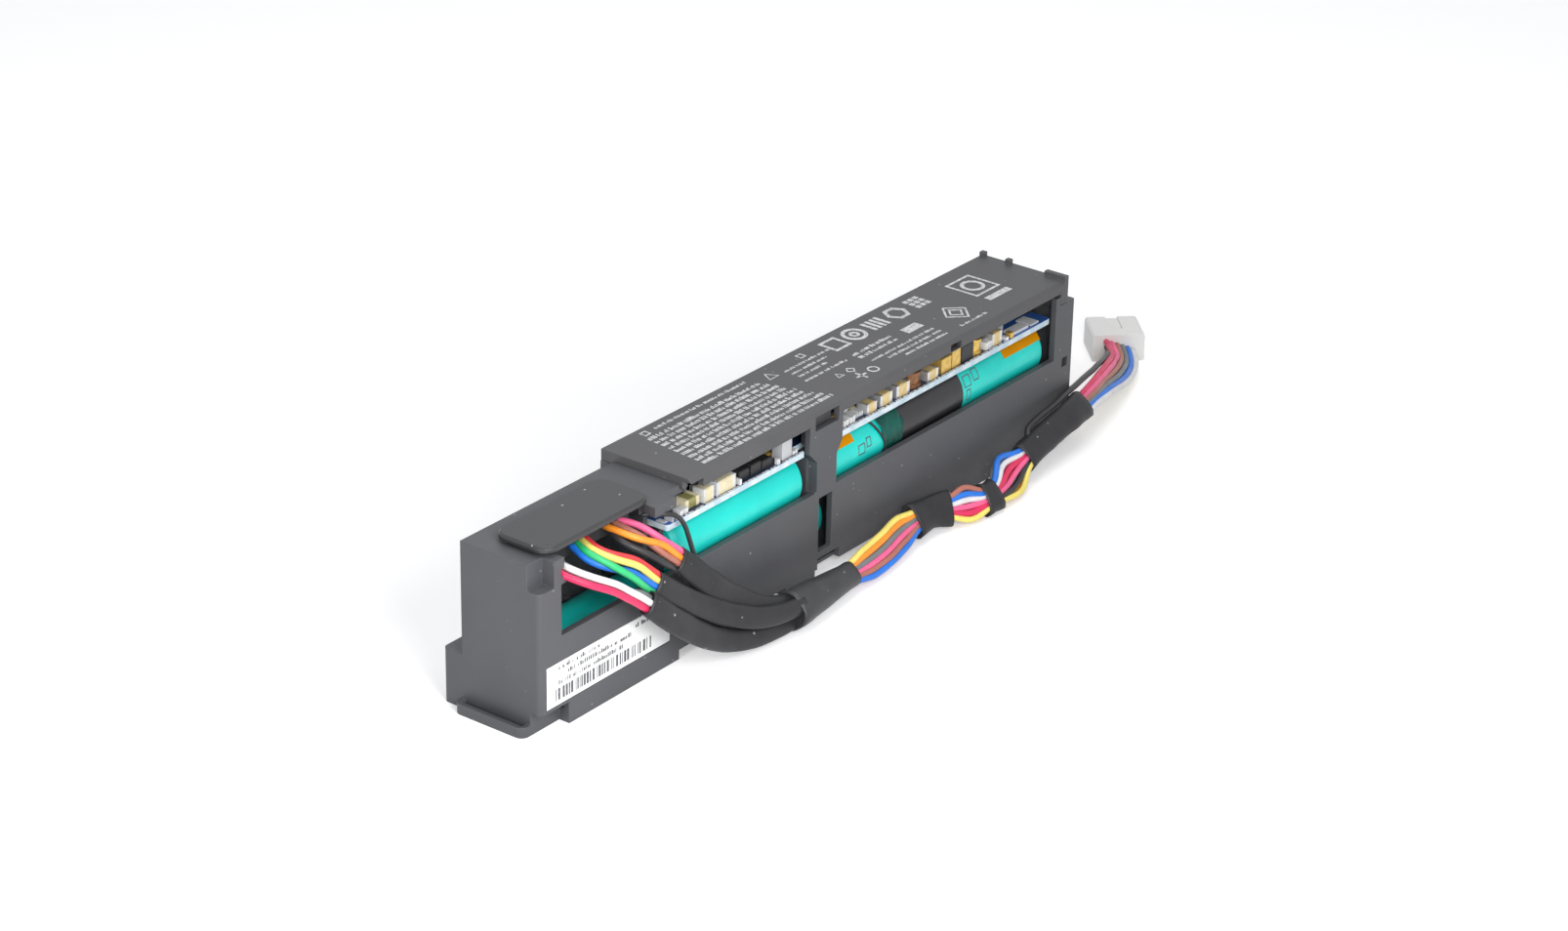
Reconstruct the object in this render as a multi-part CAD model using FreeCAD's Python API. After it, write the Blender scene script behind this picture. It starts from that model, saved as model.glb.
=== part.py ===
import FreeCAD, Part
import math
import os

Vector = FreeCAD.Vector

# Lengths are in millimetres. Until a piece is saved, x runs from the left end face of the
# housing, y from the outer face of its front wall towards the back, and z from the plane
# that its feet stand on.

# Housing, outside
HOUSING_LENGTH = 200.6
BODY_DEPTH = 25.4
LEDGE_REACH = 1.9
LEDGE_HEIGHT = 13.0
WALL = 1.6
RIGHT_WALL = 3.2
RIGHT_WALL_DROP = 3.2
LEFT_CORNER_RADIUS = 1.3
RIGHT_CORNER_RADIUS = 0.6

# End block with its deck at the left end
END_LENGTH = 50.2
END_DEPTH = 21.8
END_HEIGHT = 40.0
END_WALL = 6.6
DECK = 2.0
RAIL_START = 38.0
RAIL_END = 45.2
RAIL_DROP = 2.4
DECK_CUT_DEPTH = 3.2
WIRE_OPENING_START = 8.0
WIRE_OPENING_DEPTH = 14.0
WIRE_OPENING_DROP = 6.0
STEP_LENGTH = 1.6
STEP_HEIGHT = 1.8
POCKET_LENGTH = 4.8
POCKET_DEPTH = 3.4
POCKET_HEIGHT = 6.0

# Underside, feet and hooked lip
UNDERSIDE = 2.3
FLOOR = 0.8
FOOT_DEPTH = 4.3
LEFT_FOOT_START = 9.3
LEFT_FOOT_END = 46.5
MIDDLE_FOOT_START = 85.0
RIGHT_FOOT_LENGTH = 37.2
RIGHT_FOOT_INSET = 9.9
CORNER_CUT_HEIGHT = 5.2
LIP_REACH = 2.6
LIP_INSET = 2.8
LIP_WIDTH = 19.5
LIP_TAIL = 7.3
LIP_PLATE = 1.2
LIP_HEIGHT = 2.5
LIP_RIM = 1.2
LIP_CORNER = 2.0

# Windows and posts of the front wall
SILL_HEIGHT = 22.0
WINDOW_START = 7.0
CENTRE_POST_START = 96.0
CENTRE_POST_WIDTH = 7.3
POST_HEAD_START = 93.1
POST_HEAD_END = 105.3
POST_HEAD_HEIGHT = 32.4
POST_SHOULDER_HEIGHT = 29.5
POST_SEAT_START = 95.0
POST_SEAT_END = 103.9
POST_SEAT_DROP = 1.6
RIGHT_POST_WIDTH = 8.1
RIGHT_HORN_WIDTH = 1.7
RIGHT_HORN_RISE = 2.2
SLOT_WIDTH = 5.1
SLOT_INSET = 0.9
SLOT_BOTTOM = 6.4
SLOT_TOP = 20.3
NOTCH_WIDTH = 8.4
NOTCH_HEIGHT = 5.0
PEEP_HOLE = 2.4
PEEP_HOLE_HEIGHT = 19.0
PEEP_HOLE_INSET = 3.6

# Cells, in two rows; the lower row lies farther back and nests under the upper one
CELL_RADIUS = 7.1
CELL_LENGTH = 46.0
CELL_SHOULDER = 1.0
CELL_FRONT_GAP = 0.4
CELL_BACK_GAP = 0.3
ROW_GAP = 0.55
STOP_GAP = 0.4
UPPER_LEFT_START = 48.0
UPPER_RIGHT_START = 98.6
LOWER_LEFT_START = 14.8
LOWER_RIGHT_START = 110.0
BAND_START = 131.0
BAND_LENGTH = 25.2
BAND_THICKNESS = 0.25
PAD_THICKNESS = 0.25
PAD_ANGLE = 74.0
PAD_LEAN = 25.0
LEFT_PAD_START = 104.0
LEFT_PAD_LENGTH = 9.5
RIGHT_PAD_START = 174.6
RIGHT_PAD_LENGTH = 15.2
TAB_THICKNESS = 0.2
TAB_WIDTH = 4.4

# Ribs that seat the cells
RIB = 1.4
SADDLE_CLEARANCE = 0.45
SADDLE_REACH = 2.0
BODY_SADDLES = (62.0, 84.0, 101.9, 118.0, 172.0)
END_SADDLES = (28.0, 44.0)
PARTITION = 95.4
BLOCK_GAP = 0.3
DECK_WEB = 40.0
DECK_WEB_INSET = 5.0
POCKET_PITCH = 10.0
POCKET_WALL = 1.6

# Circuit board and the parts on it
BOARD_START = 43.6
BOARD_END = 191.8
BOARD_FRONT = 1.2
BOARD_DEPTH = 18.2
BOARD_THICKNESS = 1.4
BOARD_CORNER = 0.8
BOARD_GAP = 0.08
BOARD_NOTCH_START = 92.4
BOARD_NOTCH_END = 106.0
BOARD_NOTCH_DEPTH = 3.4
PART_FRONT_GAP = 0.8
PART_CHAMFER = 0.25

# Parts on the board: start, length, depth, height and distance behind the front row
FUSE = (52.0, 4.7, 3.4, 2.1, 0.9)
TANTALUM = ((57.3, 3.4, 3.2, 3.2), (61.8, 6.6, 3.2, 3.2))
CHIPS = (
    (70.5, 3.6, 3.4, 2.4, 0.6), (74.5, 3.6, 3.4, 2.7, 0.4), (78.6, 3.6, 3.4, 2.2, 0.4),
    (155.2, 4.8, 3.6, 4.4), (124.0, 6.0, 6.0, 1.6, 8.0),
)
BEIGE = (
    (117.5, 3.6, 3.0, 2.4), (122.6, 4.6, 3.2, 2.8), (129.0, 5.0, 3.2, 3.0),
    (141.4, 4.2, 3.0, 2.4), (168.0, 3.9, 3.0, 3.2),
)
GOLD = ((147.0, 3.9, 3.6, 3.8), (151.3, 3.4, 3.6, 4.8))
SMALL = (
    (49.0, 1.1, 2.0, 1.1), (50.6, 1.1, 2.0, 1.1), (89.4, 1.6, 1.4, 0.9), (108.6, 1.7, 2.2, 1.5),
    (111.0, 1.7, 2.2, 1.5), (113.8, 1.3, 2.4, 1.0, 0.9), (115.7, 1.3, 2.4, 1.0, 0.9),
    (165.4, 0.9, 2.0, 1.9), (166.7, 0.9, 2.0, 1.9),
)
SOLDER_PADS = ((176.8, 6.6, 2.8, 0.7), (184.4, 3.4, 4.4, 0.4))
SPACER_START = 85.4
SPACER_LENGTH = 3.5
SPACER_DEPTH = 3.0
WOUND_COIL = (135.1, 2.6, 3.8)
GOLD_COIL = (160.7, 1.95, 3.8)
FLANGE_SHARE = 0.2
WAIST_SHARE = 0.84

# Top cover
COVER_HEIGHT = 42.0
COVER_RISE = 2.8
COVER_PLATE = 1.6
COVER_SKIRT = 1.6
COVER_GAP = 0.2
COVER_CHAMFER = 0.9
CORNER_BLOCK = 2.8
CORNER_BLOCK_DEPTH = 4.0
END_SKIRT_DROP = 4.5
COVER_NOTCH_DEPTH = 2.4
COVER_NOTCH_ROOF = 0.9
LEFT_NOTCH_LENGTH = 4.4
RIGHT_NOTCH = (147.6, 152.0)
COVER_TAB = 1.1
COVER_TAB_THICKNESS = 1.4
FRONT_TAB = (0.0, 6.2)
MIDDLE_TAB = (16.4, 17.8)
BACK_TAB_START = 24.0
SKIRT_LAP = 0.5
LATCH_WIDTH = 6.0
LATCH_THICKNESS = 1.4
LATCH_DROP = 6.0
LATCH_NOSE = 1.2
LATCH_GAP = 0.3
LATCH_COUNT = 3
FIRST_LATCH = 66.0
LAST_LATCH_INSET = 22.6

# Wire cap on the deck
CAP_START = 4.2
CAP_LENGTH = 35.2
CAP_FRONT = 1.7
CAP_DEPTH = 15.1
CAP_TOP = 42.2
CAP_PLATE = 1.3
CAP_CORNER = 3.6
CAP_EDGE = 0.5
CAP_INSET = 1.5
COMB_FACE = 7.2
COMB_THICKNESS = 1.6
COMB_BOTTOM = 34.2
CHEEK = 1.4

# Sticker in its shallow recess
STICKER_START = 2.2
STICKER_LENGTH = 41.0
STICKER_BOTTOM = 6.0
STICKER_HEIGHT = 9.9
STICKER_THICKNESS = 0.15
STICKER_RECESS = 0.2
STICKER_GAP = 0.2

# Harness: three leads join in a wrapped boot and run on as one, to the connector
LEAD_DIAMETER = 5.0
TUBE_SIDES = 12
HARNESS_DIAMETER = 7.2
BOOT_START_RADIUS = 5.5
BOOT_END_RADIUS = 4.1
CONNECTOR_LENGTH = 12.0
CONNECTOR_WIDTH = 13.6
CONNECTOR_HEIGHT = 7.4
CONNECTOR_WALL = 0.8
CONNECTOR_EDGE = 0.5
CONNECTOR_WAYS = 7
TERMINAL_SIZE = 1.0
TERMINAL_LENGTH = 6.0
TERMINAL_INSET = 0.5
TERMINAL_ROWS = (0.28, 0.72)
KEY_START_SHARE = 0.35
KEY_HALF_SHARE = 0.12
KEY_DEPTH = 0.5
BEND_SHARE = 0.45

LOWER_LEAD_POINTS = (
    (11.5, 7.2, 37.2), (11.5, 1.2, 37.2), (15.6, -5.0, 33.8), (23.6, -6.9, 26.8),
    (33.6, -8.2, 17.2), (43.6, -9.0, 9.2), (53.6, -9.8, 4.3), (64.6, -11.2, 2.7),
    (74.0, -11.2, 2.7),
)
MIDDLE_LEAD_POINTS = (
    (20.0, 7.2, 37.2), (20.0, 1.6, 37.2), (23.6, -4.0, 33.4), (31.6, -5.8, 26.0),
    (41.4, -6.8, 17.8), (52.4, -9.6, 10.9), (63.8, -13.75, 7.1), (74.0, -13.75, 7.1),
)
UPPER_LEAD_POINTS = (
    (30.5, 7.2, 37.2), (30.5, 2.0, 37.2), (34.6, -3.0, 33.6), (41.6, -4.4, 27.0),
    (49.4, -5.2, 19.8), (57.0, -6.4, 13.2), (63.6, -7.9, 9.0), (69.0, -8.65, 7.1),
    (74.0, -8.65, 7.1),
)
BOOT_START_POINT = (74.0, -11.2, 5.6)
BOOT_END_POINT = (96.0, -9.4, 4.2)
HARNESS_POINTS = (
    (96.0, -9.4, 4.2), (108.0, -9.4, 4.2), (121.0, -6.4, 5.4), (134.0, -5.4, 5.2),
    (144.0, -10.0, 3.9), (155.0, -11.0, 3.7), (166.0, -7.6, 5.2), (178.0, -6.4, 7.6),
    (191.0, -6.0, 9.2), (204.5, -3.6, 9.2), (218.5, 0.4, 7.6), (230.6, 4.6, 5.0),
    (239.8, 8.9, 3.7), (245.4, 14.2, 3.7),
)

# Worked out from the sizes above
RIM_HEIGHT = COVER_HEIGHT - COVER_RISE
RIGHT_WALL_HEIGHT = RIM_HEIGHT - RIGHT_WALL_DROP
POST_SEAT_HEIGHT = RIM_HEIGHT - POST_SEAT_DROP
RIGHT_FOOT_END = HOUSING_LENGTH - RIGHT_FOOT_INSET
RIGHT_FOOT_START = RIGHT_FOOT_END - RIGHT_FOOT_LENGTH
LAST_LATCH = HOUSING_LENGTH - LAST_LATCH_INSET
LATCH_PITCH = (LAST_LATCH - FIRST_LATCH) / (LATCH_COUNT - 1)
LATCH_PLACES = [FIRST_LATCH + i * LATCH_PITCH for i in range(LATCH_COUNT)]
LEDGE_DEPTH = BODY_DEPTH + LEDGE_REACH
FLOOR_TOP = UNDERSIDE + FLOOR
UPPER_CELL_Y = WALL + CELL_FRONT_GAP + CELL_RADIUS
LOWER_CELL_Y = END_DEPTH - WALL - CELL_BACK_GAP - CELL_RADIUS
LOWER_CELL_Z = FLOOR_TOP + CELL_RADIUS
ROW_PITCH = 2 * CELL_RADIUS + ROW_GAP
UPPER_CELL_Z = LOWER_CELL_Z + math.sqrt(ROW_PITCH ** 2 - (LOWER_CELL_Y - UPPER_CELL_Y) ** 2)
CELL_STEP = CELL_LENGTH + TAB_THICKNESS
BOARD_UNDERSIDE = UPPER_CELL_Z + CELL_RADIUS + PAD_THICKNESS + BOARD_GAP
BOARD_TOP = BOARD_UNDERSIDE + BOARD_THICKNESS
CENTRE_POST_END = CENTRE_POST_START + CENTRE_POST_WIDTH
RIGHT_POST_START = HOUSING_LENGTH - RIGHT_POST_WIDTH
CAVITY_END = HOUSING_LENGTH - RIGHT_WALL
DECK_UNDERSIDE = END_HEIGHT - DECK
BLOCK_START = LOWER_RIGHT_START + CELL_STEP
BLOCK_TOP = UPPER_CELL_Z - CELL_RADIUS - BAND_THICKNESS - BLOCK_GAP
COVER_UNDERSIDE = COVER_HEIGHT - COVER_PLATE
COVER_START = END_LENGTH + COVER_GAP
COVER_END = CAVITY_END - COVER_GAP
LIP_END = LIP_INSET + LIP_WIDTH
CAP_UNDERSIDE = CAP_TOP - CAP_PLATE
UPPER_ROW = (UPPER_CELL_Y, UPPER_CELL_Z)
LOWER_ROW = (LOWER_CELL_Y, LOWER_CELL_Z)
PAST = 1.0


def box(x0, x1, y0, y1, z0, z1):
    return Part.makeBox(x1 - x0, y1 - y0, z1 - z0, Vector(x0, y0, z0))


def prism_along_x(outline, x0, x1):
    """A solid from an outline of (y, z) points."""
    corners = [Vector(x0, y, z) for y, z in outline]
    face = Part.Face(Part.makePolygon(corners + corners[:1]))
    return face.extrude(Vector(x1 - x0, 0, 0))


def prism_along_y(outline, y0, y1):
    """A solid from an outline of (x, z) points."""
    corners = [Vector(x, y0, z) for x, z in outline]
    face = Part.Face(Part.makePolygon(corners + corners[:1]))
    return face.extrude(Vector(0, y1 - y0, 0))


def rod_along_x(radius, x0, x1, row):
    return Part.makeCylinder(radius, x1 - x0, Vector(x0, row[0], row[1]), Vector(1, 0, 0))


def upright_edges(shape, places):
    """The upright edges of a shape that stand at the given (x, y) places."""
    found = []
    for edge in shape.Edges:
        ends = [vertex.Point for vertex in edge.Vertexes]
        if len(ends) != 2 or abs(ends[0].z - ends[1].z) < 0.5:
            continue
        for x, y in places:
            if all(abs(end.x - x) < 1e-3 and abs(end.y - y) < 1e-3 for end in ends):
                found.append(edge)
    return found


def top_edges(shape, height):
    return [edge for edge in shape.Edges if all(abs(v.Z - height) < 1e-6 for v in edge.Vertexes)]


def rounded_slab(x0, x1, y0, y1, z0, z1, radius):
    slab = box(x0, x1, y0, y1, z0, z1)
    corners = [(x, y) for x in (x0, x1) for y in (y0, y1)]
    return slab.makeFillet(radius, upright_edges(slab, corners))


# Housing

def housing_outside():
    """Two outlines drawn along the length: the end block and the deeper main body."""
    block = prism_along_x(
        ((0, 0), (LEDGE_DEPTH, 0), (LEDGE_DEPTH, LEDGE_HEIGHT),
         (END_DEPTH, LEDGE_HEIGHT), (END_DEPTH, END_HEIGHT), (0, END_HEIGHT)),
        0, END_LENGTH)
    block = block.makeFillet(LEFT_CORNER_RADIUS, upright_edges(block, ((0, 0), (0, LEDGE_DEPTH))))
    body = prism_along_x(
        ((0, 0), (LEDGE_DEPTH, 0), (LEDGE_DEPTH, LEDGE_HEIGHT),
         (BODY_DEPTH, LEDGE_HEIGHT), (BODY_DEPTH, RIM_HEIGHT), (0, RIM_HEIGHT)),
        END_LENGTH, HOUSING_LENGTH)
    corners = ((HOUSING_LENGTH, 0), (HOUSING_LENGTH, LEDGE_DEPTH), (HOUSING_LENGTH, BODY_DEPTH))
    body = body.makeFillet(RIGHT_CORNER_RADIUS, upright_edges(body, corners))
    return block.fuse(body).removeSplitter()


def housing_hollow():
    """The space for the cells, the board and the wires."""
    body_start = END_LENGTH + WALL
    under_deck = box(END_WALL, body_start + PAST, WALL, END_DEPTH - WALL, FLOOR_TOP, DECK_UNDERSIDE)
    main = box(body_start, CAVITY_END, WALL, BODY_DEPTH - WALL, FLOOR_TOP, RIM_HEIGHT + PAST)
    return under_deck.fuse(main)


def front_windows():
    """The two windows; their tops are open towards the cover's skirt."""
    head_top = RIM_HEIGHT + PAST
    left = box(WINDOW_START, END_LENGTH, -PAST, WALL + PAST, SILL_HEIGHT, END_HEIGHT - RAIL_DROP)
    body = prism_along_y(
        ((END_LENGTH - PAST, SILL_HEIGHT), (CENTRE_POST_START, SILL_HEIGHT),
         (CENTRE_POST_START, POST_SHOULDER_HEIGHT), (POST_HEAD_START, POST_HEAD_HEIGHT),
         (POST_HEAD_START, head_top), (END_LENGTH, head_top),
         (END_LENGTH, END_HEIGHT - RAIL_DROP), (END_LENGTH - PAST, END_HEIGHT - RAIL_DROP)),
        -PAST, WALL + PAST)
    right = prism_along_y(
        ((CENTRE_POST_END, SILL_HEIGHT), (RIGHT_POST_START, SILL_HEIGHT),
         (RIGHT_POST_START, head_top), (POST_HEAD_END, head_top),
         (POST_HEAD_END, POST_HEAD_HEIGHT), (CENTRE_POST_END, POST_SHOULDER_HEIGHT)),
        -PAST, WALL + PAST)
    return [left, body, right]


def post_tops():
    """The seat in the centre post's head and the low top of the right-hand wall."""
    seat = box(POST_SEAT_START, POST_SEAT_END, -PAST, WALL + PAST, POST_SEAT_HEIGHT, RIM_HEIGHT + PAST)
    horn_end = RIGHT_POST_START + RIGHT_HORN_WIDTH
    horn_top = box(RIGHT_POST_START - PAST, horn_end, -PAST, WALL + PAST,
                   RIGHT_WALL_HEIGHT + RIGHT_HORN_RISE, RIM_HEIGHT + PAST)
    post = box(horn_end, HOUSING_LENGTH + PAST, -PAST, WALL + PAST,
               RIGHT_WALL_HEIGHT, RIM_HEIGHT + PAST)
    end = box(CAVITY_END, HOUSING_LENGTH + PAST, -PAST, LEDGE_DEPTH,
              RIGHT_WALL_HEIGHT, RIM_HEIGHT + PAST)
    return [seat, horn_top, post, end]


def wire_opening():
    """The cut in the deck and the front rail that the wires come out of, under the cap."""
    return box(WIRE_OPENING_START, RAIL_START, -PAST, WIRE_OPENING_DEPTH,
               END_HEIGHT - WIRE_OPENING_DROP, END_HEIGHT + PAST)


def deck_cut():
    """The cut at the deck's front corner that bares the end of the board."""
    return box(RAIL_END, END_LENGTH + PAST, -PAST, DECK_CUT_DEPTH,
               END_HEIGHT - RAIL_DROP - PAST, END_HEIGHT + PAST)


def post_details():
    """The tall slot, the notch under it, the peep hole and the corner pocket."""
    slot_x = CENTRE_POST_START + SLOT_INSET
    slot = box(slot_x, slot_x + SLOT_WIDTH, -PAST, WALL + PAST, SLOT_BOTTOM, SLOT_TOP)
    notch = box(slot_x, slot_x + NOTCH_WIDTH, -PAST, WALL, -PAST, NOTCH_HEIGHT)
    hole_x = RIGHT_POST_START + PEEP_HOLE_INSET
    hole = box(hole_x, hole_x + PEEP_HOLE, -PAST, WALL,
               PEEP_HOLE_HEIGHT, PEEP_HOLE_HEIGHT + PEEP_HOLE)
    pocket = box(-PAST, POCKET_LENGTH, -PAST, POCKET_DEPTH,
                 END_HEIGHT - POCKET_HEIGHT, END_HEIGHT + PAST)
    return [slot, notch, hole, pocket]


def window_step():
    """A small step in the upper left corner of the left window."""
    bottom = END_HEIGHT - WIRE_OPENING_DROP
    return box(WINDOW_START - PAST, WINDOW_START + STEP_LENGTH, 0, WALL, bottom, bottom + STEP_HEIGHT)


def sticker_recess():
    """The shallow recess that the sticker lies in."""
    return box(STICKER_START - STICKER_GAP, STICKER_START + STICKER_LENGTH + STICKER_GAP,
               -PAST, STICKER_RECESS, STICKER_BOTTOM - STICKER_GAP,
               STICKER_BOTTOM + STICKER_HEIGHT + STICKER_GAP)


def underside_cuts():
    """Everything that stands clear of the resting plane between the feet."""
    back_foot = LEDGE_DEPTH - FOOT_DEPTH
    cuts = [box(LIP_TAIL, HOUSING_LENGTH + PAST, FOOT_DEPTH, back_foot, -PAST, UNDERSIDE)]
    for x0, x1 in ((LEFT_FOOT_END, MIDDLE_FOOT_START), (CENTRE_POST_START, RIGHT_FOOT_START),
                   (RIGHT_FOOT_END, HOUSING_LENGTH + PAST)):
        cuts.append(box(x0, x1, -PAST, FOOT_DEPTH, -PAST, UNDERSIDE))
    for x0, x1 in ((LEFT_FOOT_END, RIGHT_FOOT_START), (RIGHT_FOOT_END, HOUSING_LENGTH + PAST)):
        cuts.append(box(x0, x1, back_foot, LEDGE_DEPTH + PAST, -PAST, UNDERSIDE))
    cuts.append(box(-PAST, LEFT_FOOT_START, -PAST, LIP_INSET, -PAST, CORNER_CUT_HEIGHT))
    return cuts


def core_pockets():
    """Pockets moulded up from below, so that the thick right end has even walls."""
    depth_start = FOOT_DEPTH + POCKET_WALL
    depth_end = LEDGE_DEPTH - FOOT_DEPTH - POCKET_WALL
    room = CAVITY_END - BLOCK_START
    count = int(room // POCKET_PITCH)
    pockets = []
    for i in range(count):
        x0 = BLOCK_START + POCKET_WALL + i * room / count
        x1 = x0 + room / count - POCKET_WALL
        pockets.append(box(x0, x1, depth_start, depth_end, -PAST, BLOCK_TOP - POCKET_WALL))
    return pockets


def cell_room(row, x0, x1):
    return rod_along_x(CELL_RADIUS + SADDLE_CLEARANCE, x0, x1, row)


def rib_blank(x0, y0, z0, z1):
    """A plate across the hollow, from y0 back to the rear wall."""
    depth = END_DEPTH if x0 < END_LENGTH - RIB else BODY_DEPTH
    return box(x0, x0 + RIB, y0, depth - 0.5 * WALL, z0, z1)


def saddle(x0, top):
    """A rib that backs the cells with round seats."""
    plate = rib_blank(x0, UPPER_CELL_Y + SADDLE_REACH, FLOOR_TOP - 0.5 * FLOOR, top)
    plate = plate.cut(cell_room(LOWER_ROW, x0 - PAST, x0 + RIB + PAST))
    return plate.cut(cell_room(UPPER_ROW, x0 - PAST, x0 + RIB + PAST))


def partition():
    """The plate behind the centre post: it parts the upper row and bridges the lower one."""
    plate = rib_blank(PARTITION, 0.5 * WALL, FLOOR_TOP - 0.5 * FLOOR, BOARD_UNDERSIDE)
    return plate.cut(cell_room(LOWER_ROW, PARTITION - PAST, PARTITION + RIB + PAST))


def stop_ribs():
    """Plates that stop the rows at their ends."""
    floor = FLOOR_TOP - 0.5 * FLOOR
    left = rib_blank(LOWER_LEFT_START - STOP_GAP - RIB, 0.5 * WALL, floor, BLOCK_TOP)
    middle = rib_blank(LOWER_RIGHT_START - STOP_GAP - RIB, 0.5 * WALL, floor, BLOCK_TOP)
    upper = rib_blank(UPPER_LEFT_START - STOP_GAP - RIB, UPPER_CELL_Y - 0.5 * CELL_RADIUS,
                      LOWER_CELL_Z, BOARD_UNDERSIDE)
    upper = upper.cut(cell_room(LOWER_ROW, LOWER_LEFT_START, CENTRE_POST_START))
    return [left, middle, upper]


def deck_web():
    """A web that hangs from the deck, behind the rail, and parts the wires from the board."""
    return rib_blank(DECK_WEB, DECK_WEB_INSET, UPPER_CELL_Z, END_HEIGHT - 0.5 * DECK)


def right_block():
    """The raised floor right of the lower row."""
    return box(BLOCK_START, CAVITY_END + PAST, 0.5 * WALL, BODY_DEPTH - 0.5 * WALL,
               FLOOR_TOP - 0.5 * FLOOR, BLOCK_TOP)


def lip():
    """The hooked lip at the left end: a plate with a rim that stands up along its edge."""
    plate = rounded_slab(-LIP_REACH, LIP_TAIL, LIP_INSET, LIP_END, 0, LIP_HEIGHT, LIP_CORNER)
    groove = box(LIP_RIM - LIP_REACH, LIP_TAIL + PAST, LIP_INSET + LIP_RIM, LIP_END - LIP_RIM,
                 LIP_PLATE, LIP_HEIGHT + PAST)
    return plate.cut(groove)


def latch_window(x):
    """The opening in the rear wall that a latch of the cover snaps into."""
    half = 0.5 * LATCH_WIDTH + LATCH_GAP
    bottom = RIM_HEIGHT - LATCH_DROP - LATCH_GAP
    return box(x - half, x + half, BODY_DEPTH - WALL - PAST, BODY_DEPTH + PAST,
               bottom, bottom + 2 * (LATCH_NOSE + LATCH_GAP))


def make_housing():
    shell = housing_outside().cut(housing_hollow())
    inside = [right_block(), partition(), deck_web()] + stop_ribs()
    inside += [saddle(x, BOARD_UNDERSIDE) for x in BODY_SADDLES]
    inside += [saddle(x, BLOCK_TOP) for x in END_SADDLES]
    shell = shell.fuse(inside)
    cuts = front_windows() + post_tops() + [wire_opening(), deck_cut(), sticker_recess()]
    cuts += post_details() + underside_cuts() + core_pockets()
    cuts += [latch_window(x) for x in LATCH_PLACES]
    return shell.cut(cuts).fuse([lip(), window_step()]).removeSplitter()


# Cells and what is on them

def cell(start, row):
    """A sealed cell in its shrink sleeve, with bevelled shoulders."""
    can = rod_along_x(CELL_RADIUS, start, start + CELL_LENGTH, row)
    ends = [edge for edge in can.Edges if isinstance(edge.Curve, Part.Circle)]
    return can.makeChamfer(CELL_SHOULDER, ends)


def make_band():
    """The shrink band over the joint of the two right-hand cells."""
    end = BAND_START + BAND_LENGTH
    outer = rod_along_x(CELL_RADIUS + BAND_THICKNESS, BAND_START, end, UPPER_ROW)
    return outer.cut(rod_along_x(CELL_RADIUS, BAND_START - PAST, end + PAST, UPPER_ROW))


def amber_pad(start, length):
    """Insulating film that wraps a cell from just behind its top down its front."""
    base = Vector(start, UPPER_CELL_Y, UPPER_CELL_Z)
    along = Vector(1, 0, 0)
    sector = Part.makeCylinder(CELL_RADIUS + PAD_THICKNESS, length, base, along, PAD_ANGLE)
    core = rod_along_x(CELL_RADIUS, start - PAST, start + length + PAST, UPPER_ROW)
    film = sector.cut(core).Solids[0]
    middle = film.CenterOfMass - base
    lean = math.degrees(math.atan2(-middle.y, middle.z))
    film.rotate(base, along, PAD_LEAN - lean)
    return film


def flat_tab(x0, row, z0, z1):
    """A nickel strip welded across a cell's end."""
    return box(x0, x0 + TAB_THICKNESS, row[0] - 0.5 * TAB_WIDTH, row[0] + 0.5 * TAB_WIDTH, z0, z1)


def right_tab():
    """The strip at the right end of the upper row, folded over on to the board."""
    x0 = UPPER_RIGHT_START + CELL_STEP + CELL_LENGTH
    reach = 0.5 * TAB_WIDTH
    front = UPPER_CELL_Y - reach
    back = UPPER_CELL_Y + reach
    top = BOARD_TOP + TAB_THICKNESS
    end = BOARD_END + TAB_THICKNESS
    weld = flat_tab(x0, UPPER_ROW, UPPER_CELL_Z - reach, UPPER_CELL_Z)
    foot = box(x0, end, front, back, UPPER_CELL_Z - TAB_THICKNESS, UPPER_CELL_Z)
    rise = flat_tab(BOARD_END, UPPER_ROW, UPPER_CELL_Z - TAB_THICKNESS, top)
    fold = box(BOARD_END - reach, end, front, back, BOARD_TOP, top)
    return foot.fuse([weld, rise, fold]).removeSplitter()


def cells():
    return {
        "cell_upper_left": cell(UPPER_LEFT_START, UPPER_ROW),
        "cell_upper_middle": cell(UPPER_RIGHT_START, UPPER_ROW),
        "cell_upper_right": cell(UPPER_RIGHT_START + CELL_STEP, UPPER_ROW),
        "cell_lower_left": cell(LOWER_LEFT_START, LOWER_ROW),
        "cell_lower_middle": cell(LOWER_LEFT_START + CELL_STEP, LOWER_ROW),
        "cell_lower_right": cell(LOWER_RIGHT_START, LOWER_ROW),
    }


def tabs():
    reach = 0.5 * TAB_WIDTH
    upper = (UPPER_CELL_Z - reach, UPPER_CELL_Z + reach)
    lower = (LOWER_CELL_Z - reach, LOWER_CELL_Z + reach)
    return {
        "tab_upper_left": flat_tab(UPPER_LEFT_START - TAB_THICKNESS, UPPER_ROW,
                                   upper[0], BOARD_UNDERSIDE),
        "tab_upper_joint": flat_tab(UPPER_RIGHT_START + CELL_LENGTH, UPPER_ROW, *upper),
        "tab_upper_right": right_tab(),
        "tab_lower_left": flat_tab(LOWER_LEFT_START - TAB_THICKNESS, LOWER_ROW,
                                   lower[0], LOWER_CELL_Z + CELL_RADIUS),
        "tab_lower_joint": flat_tab(LOWER_LEFT_START + CELL_LENGTH, LOWER_ROW, *lower),
    }


# Circuit board

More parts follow.
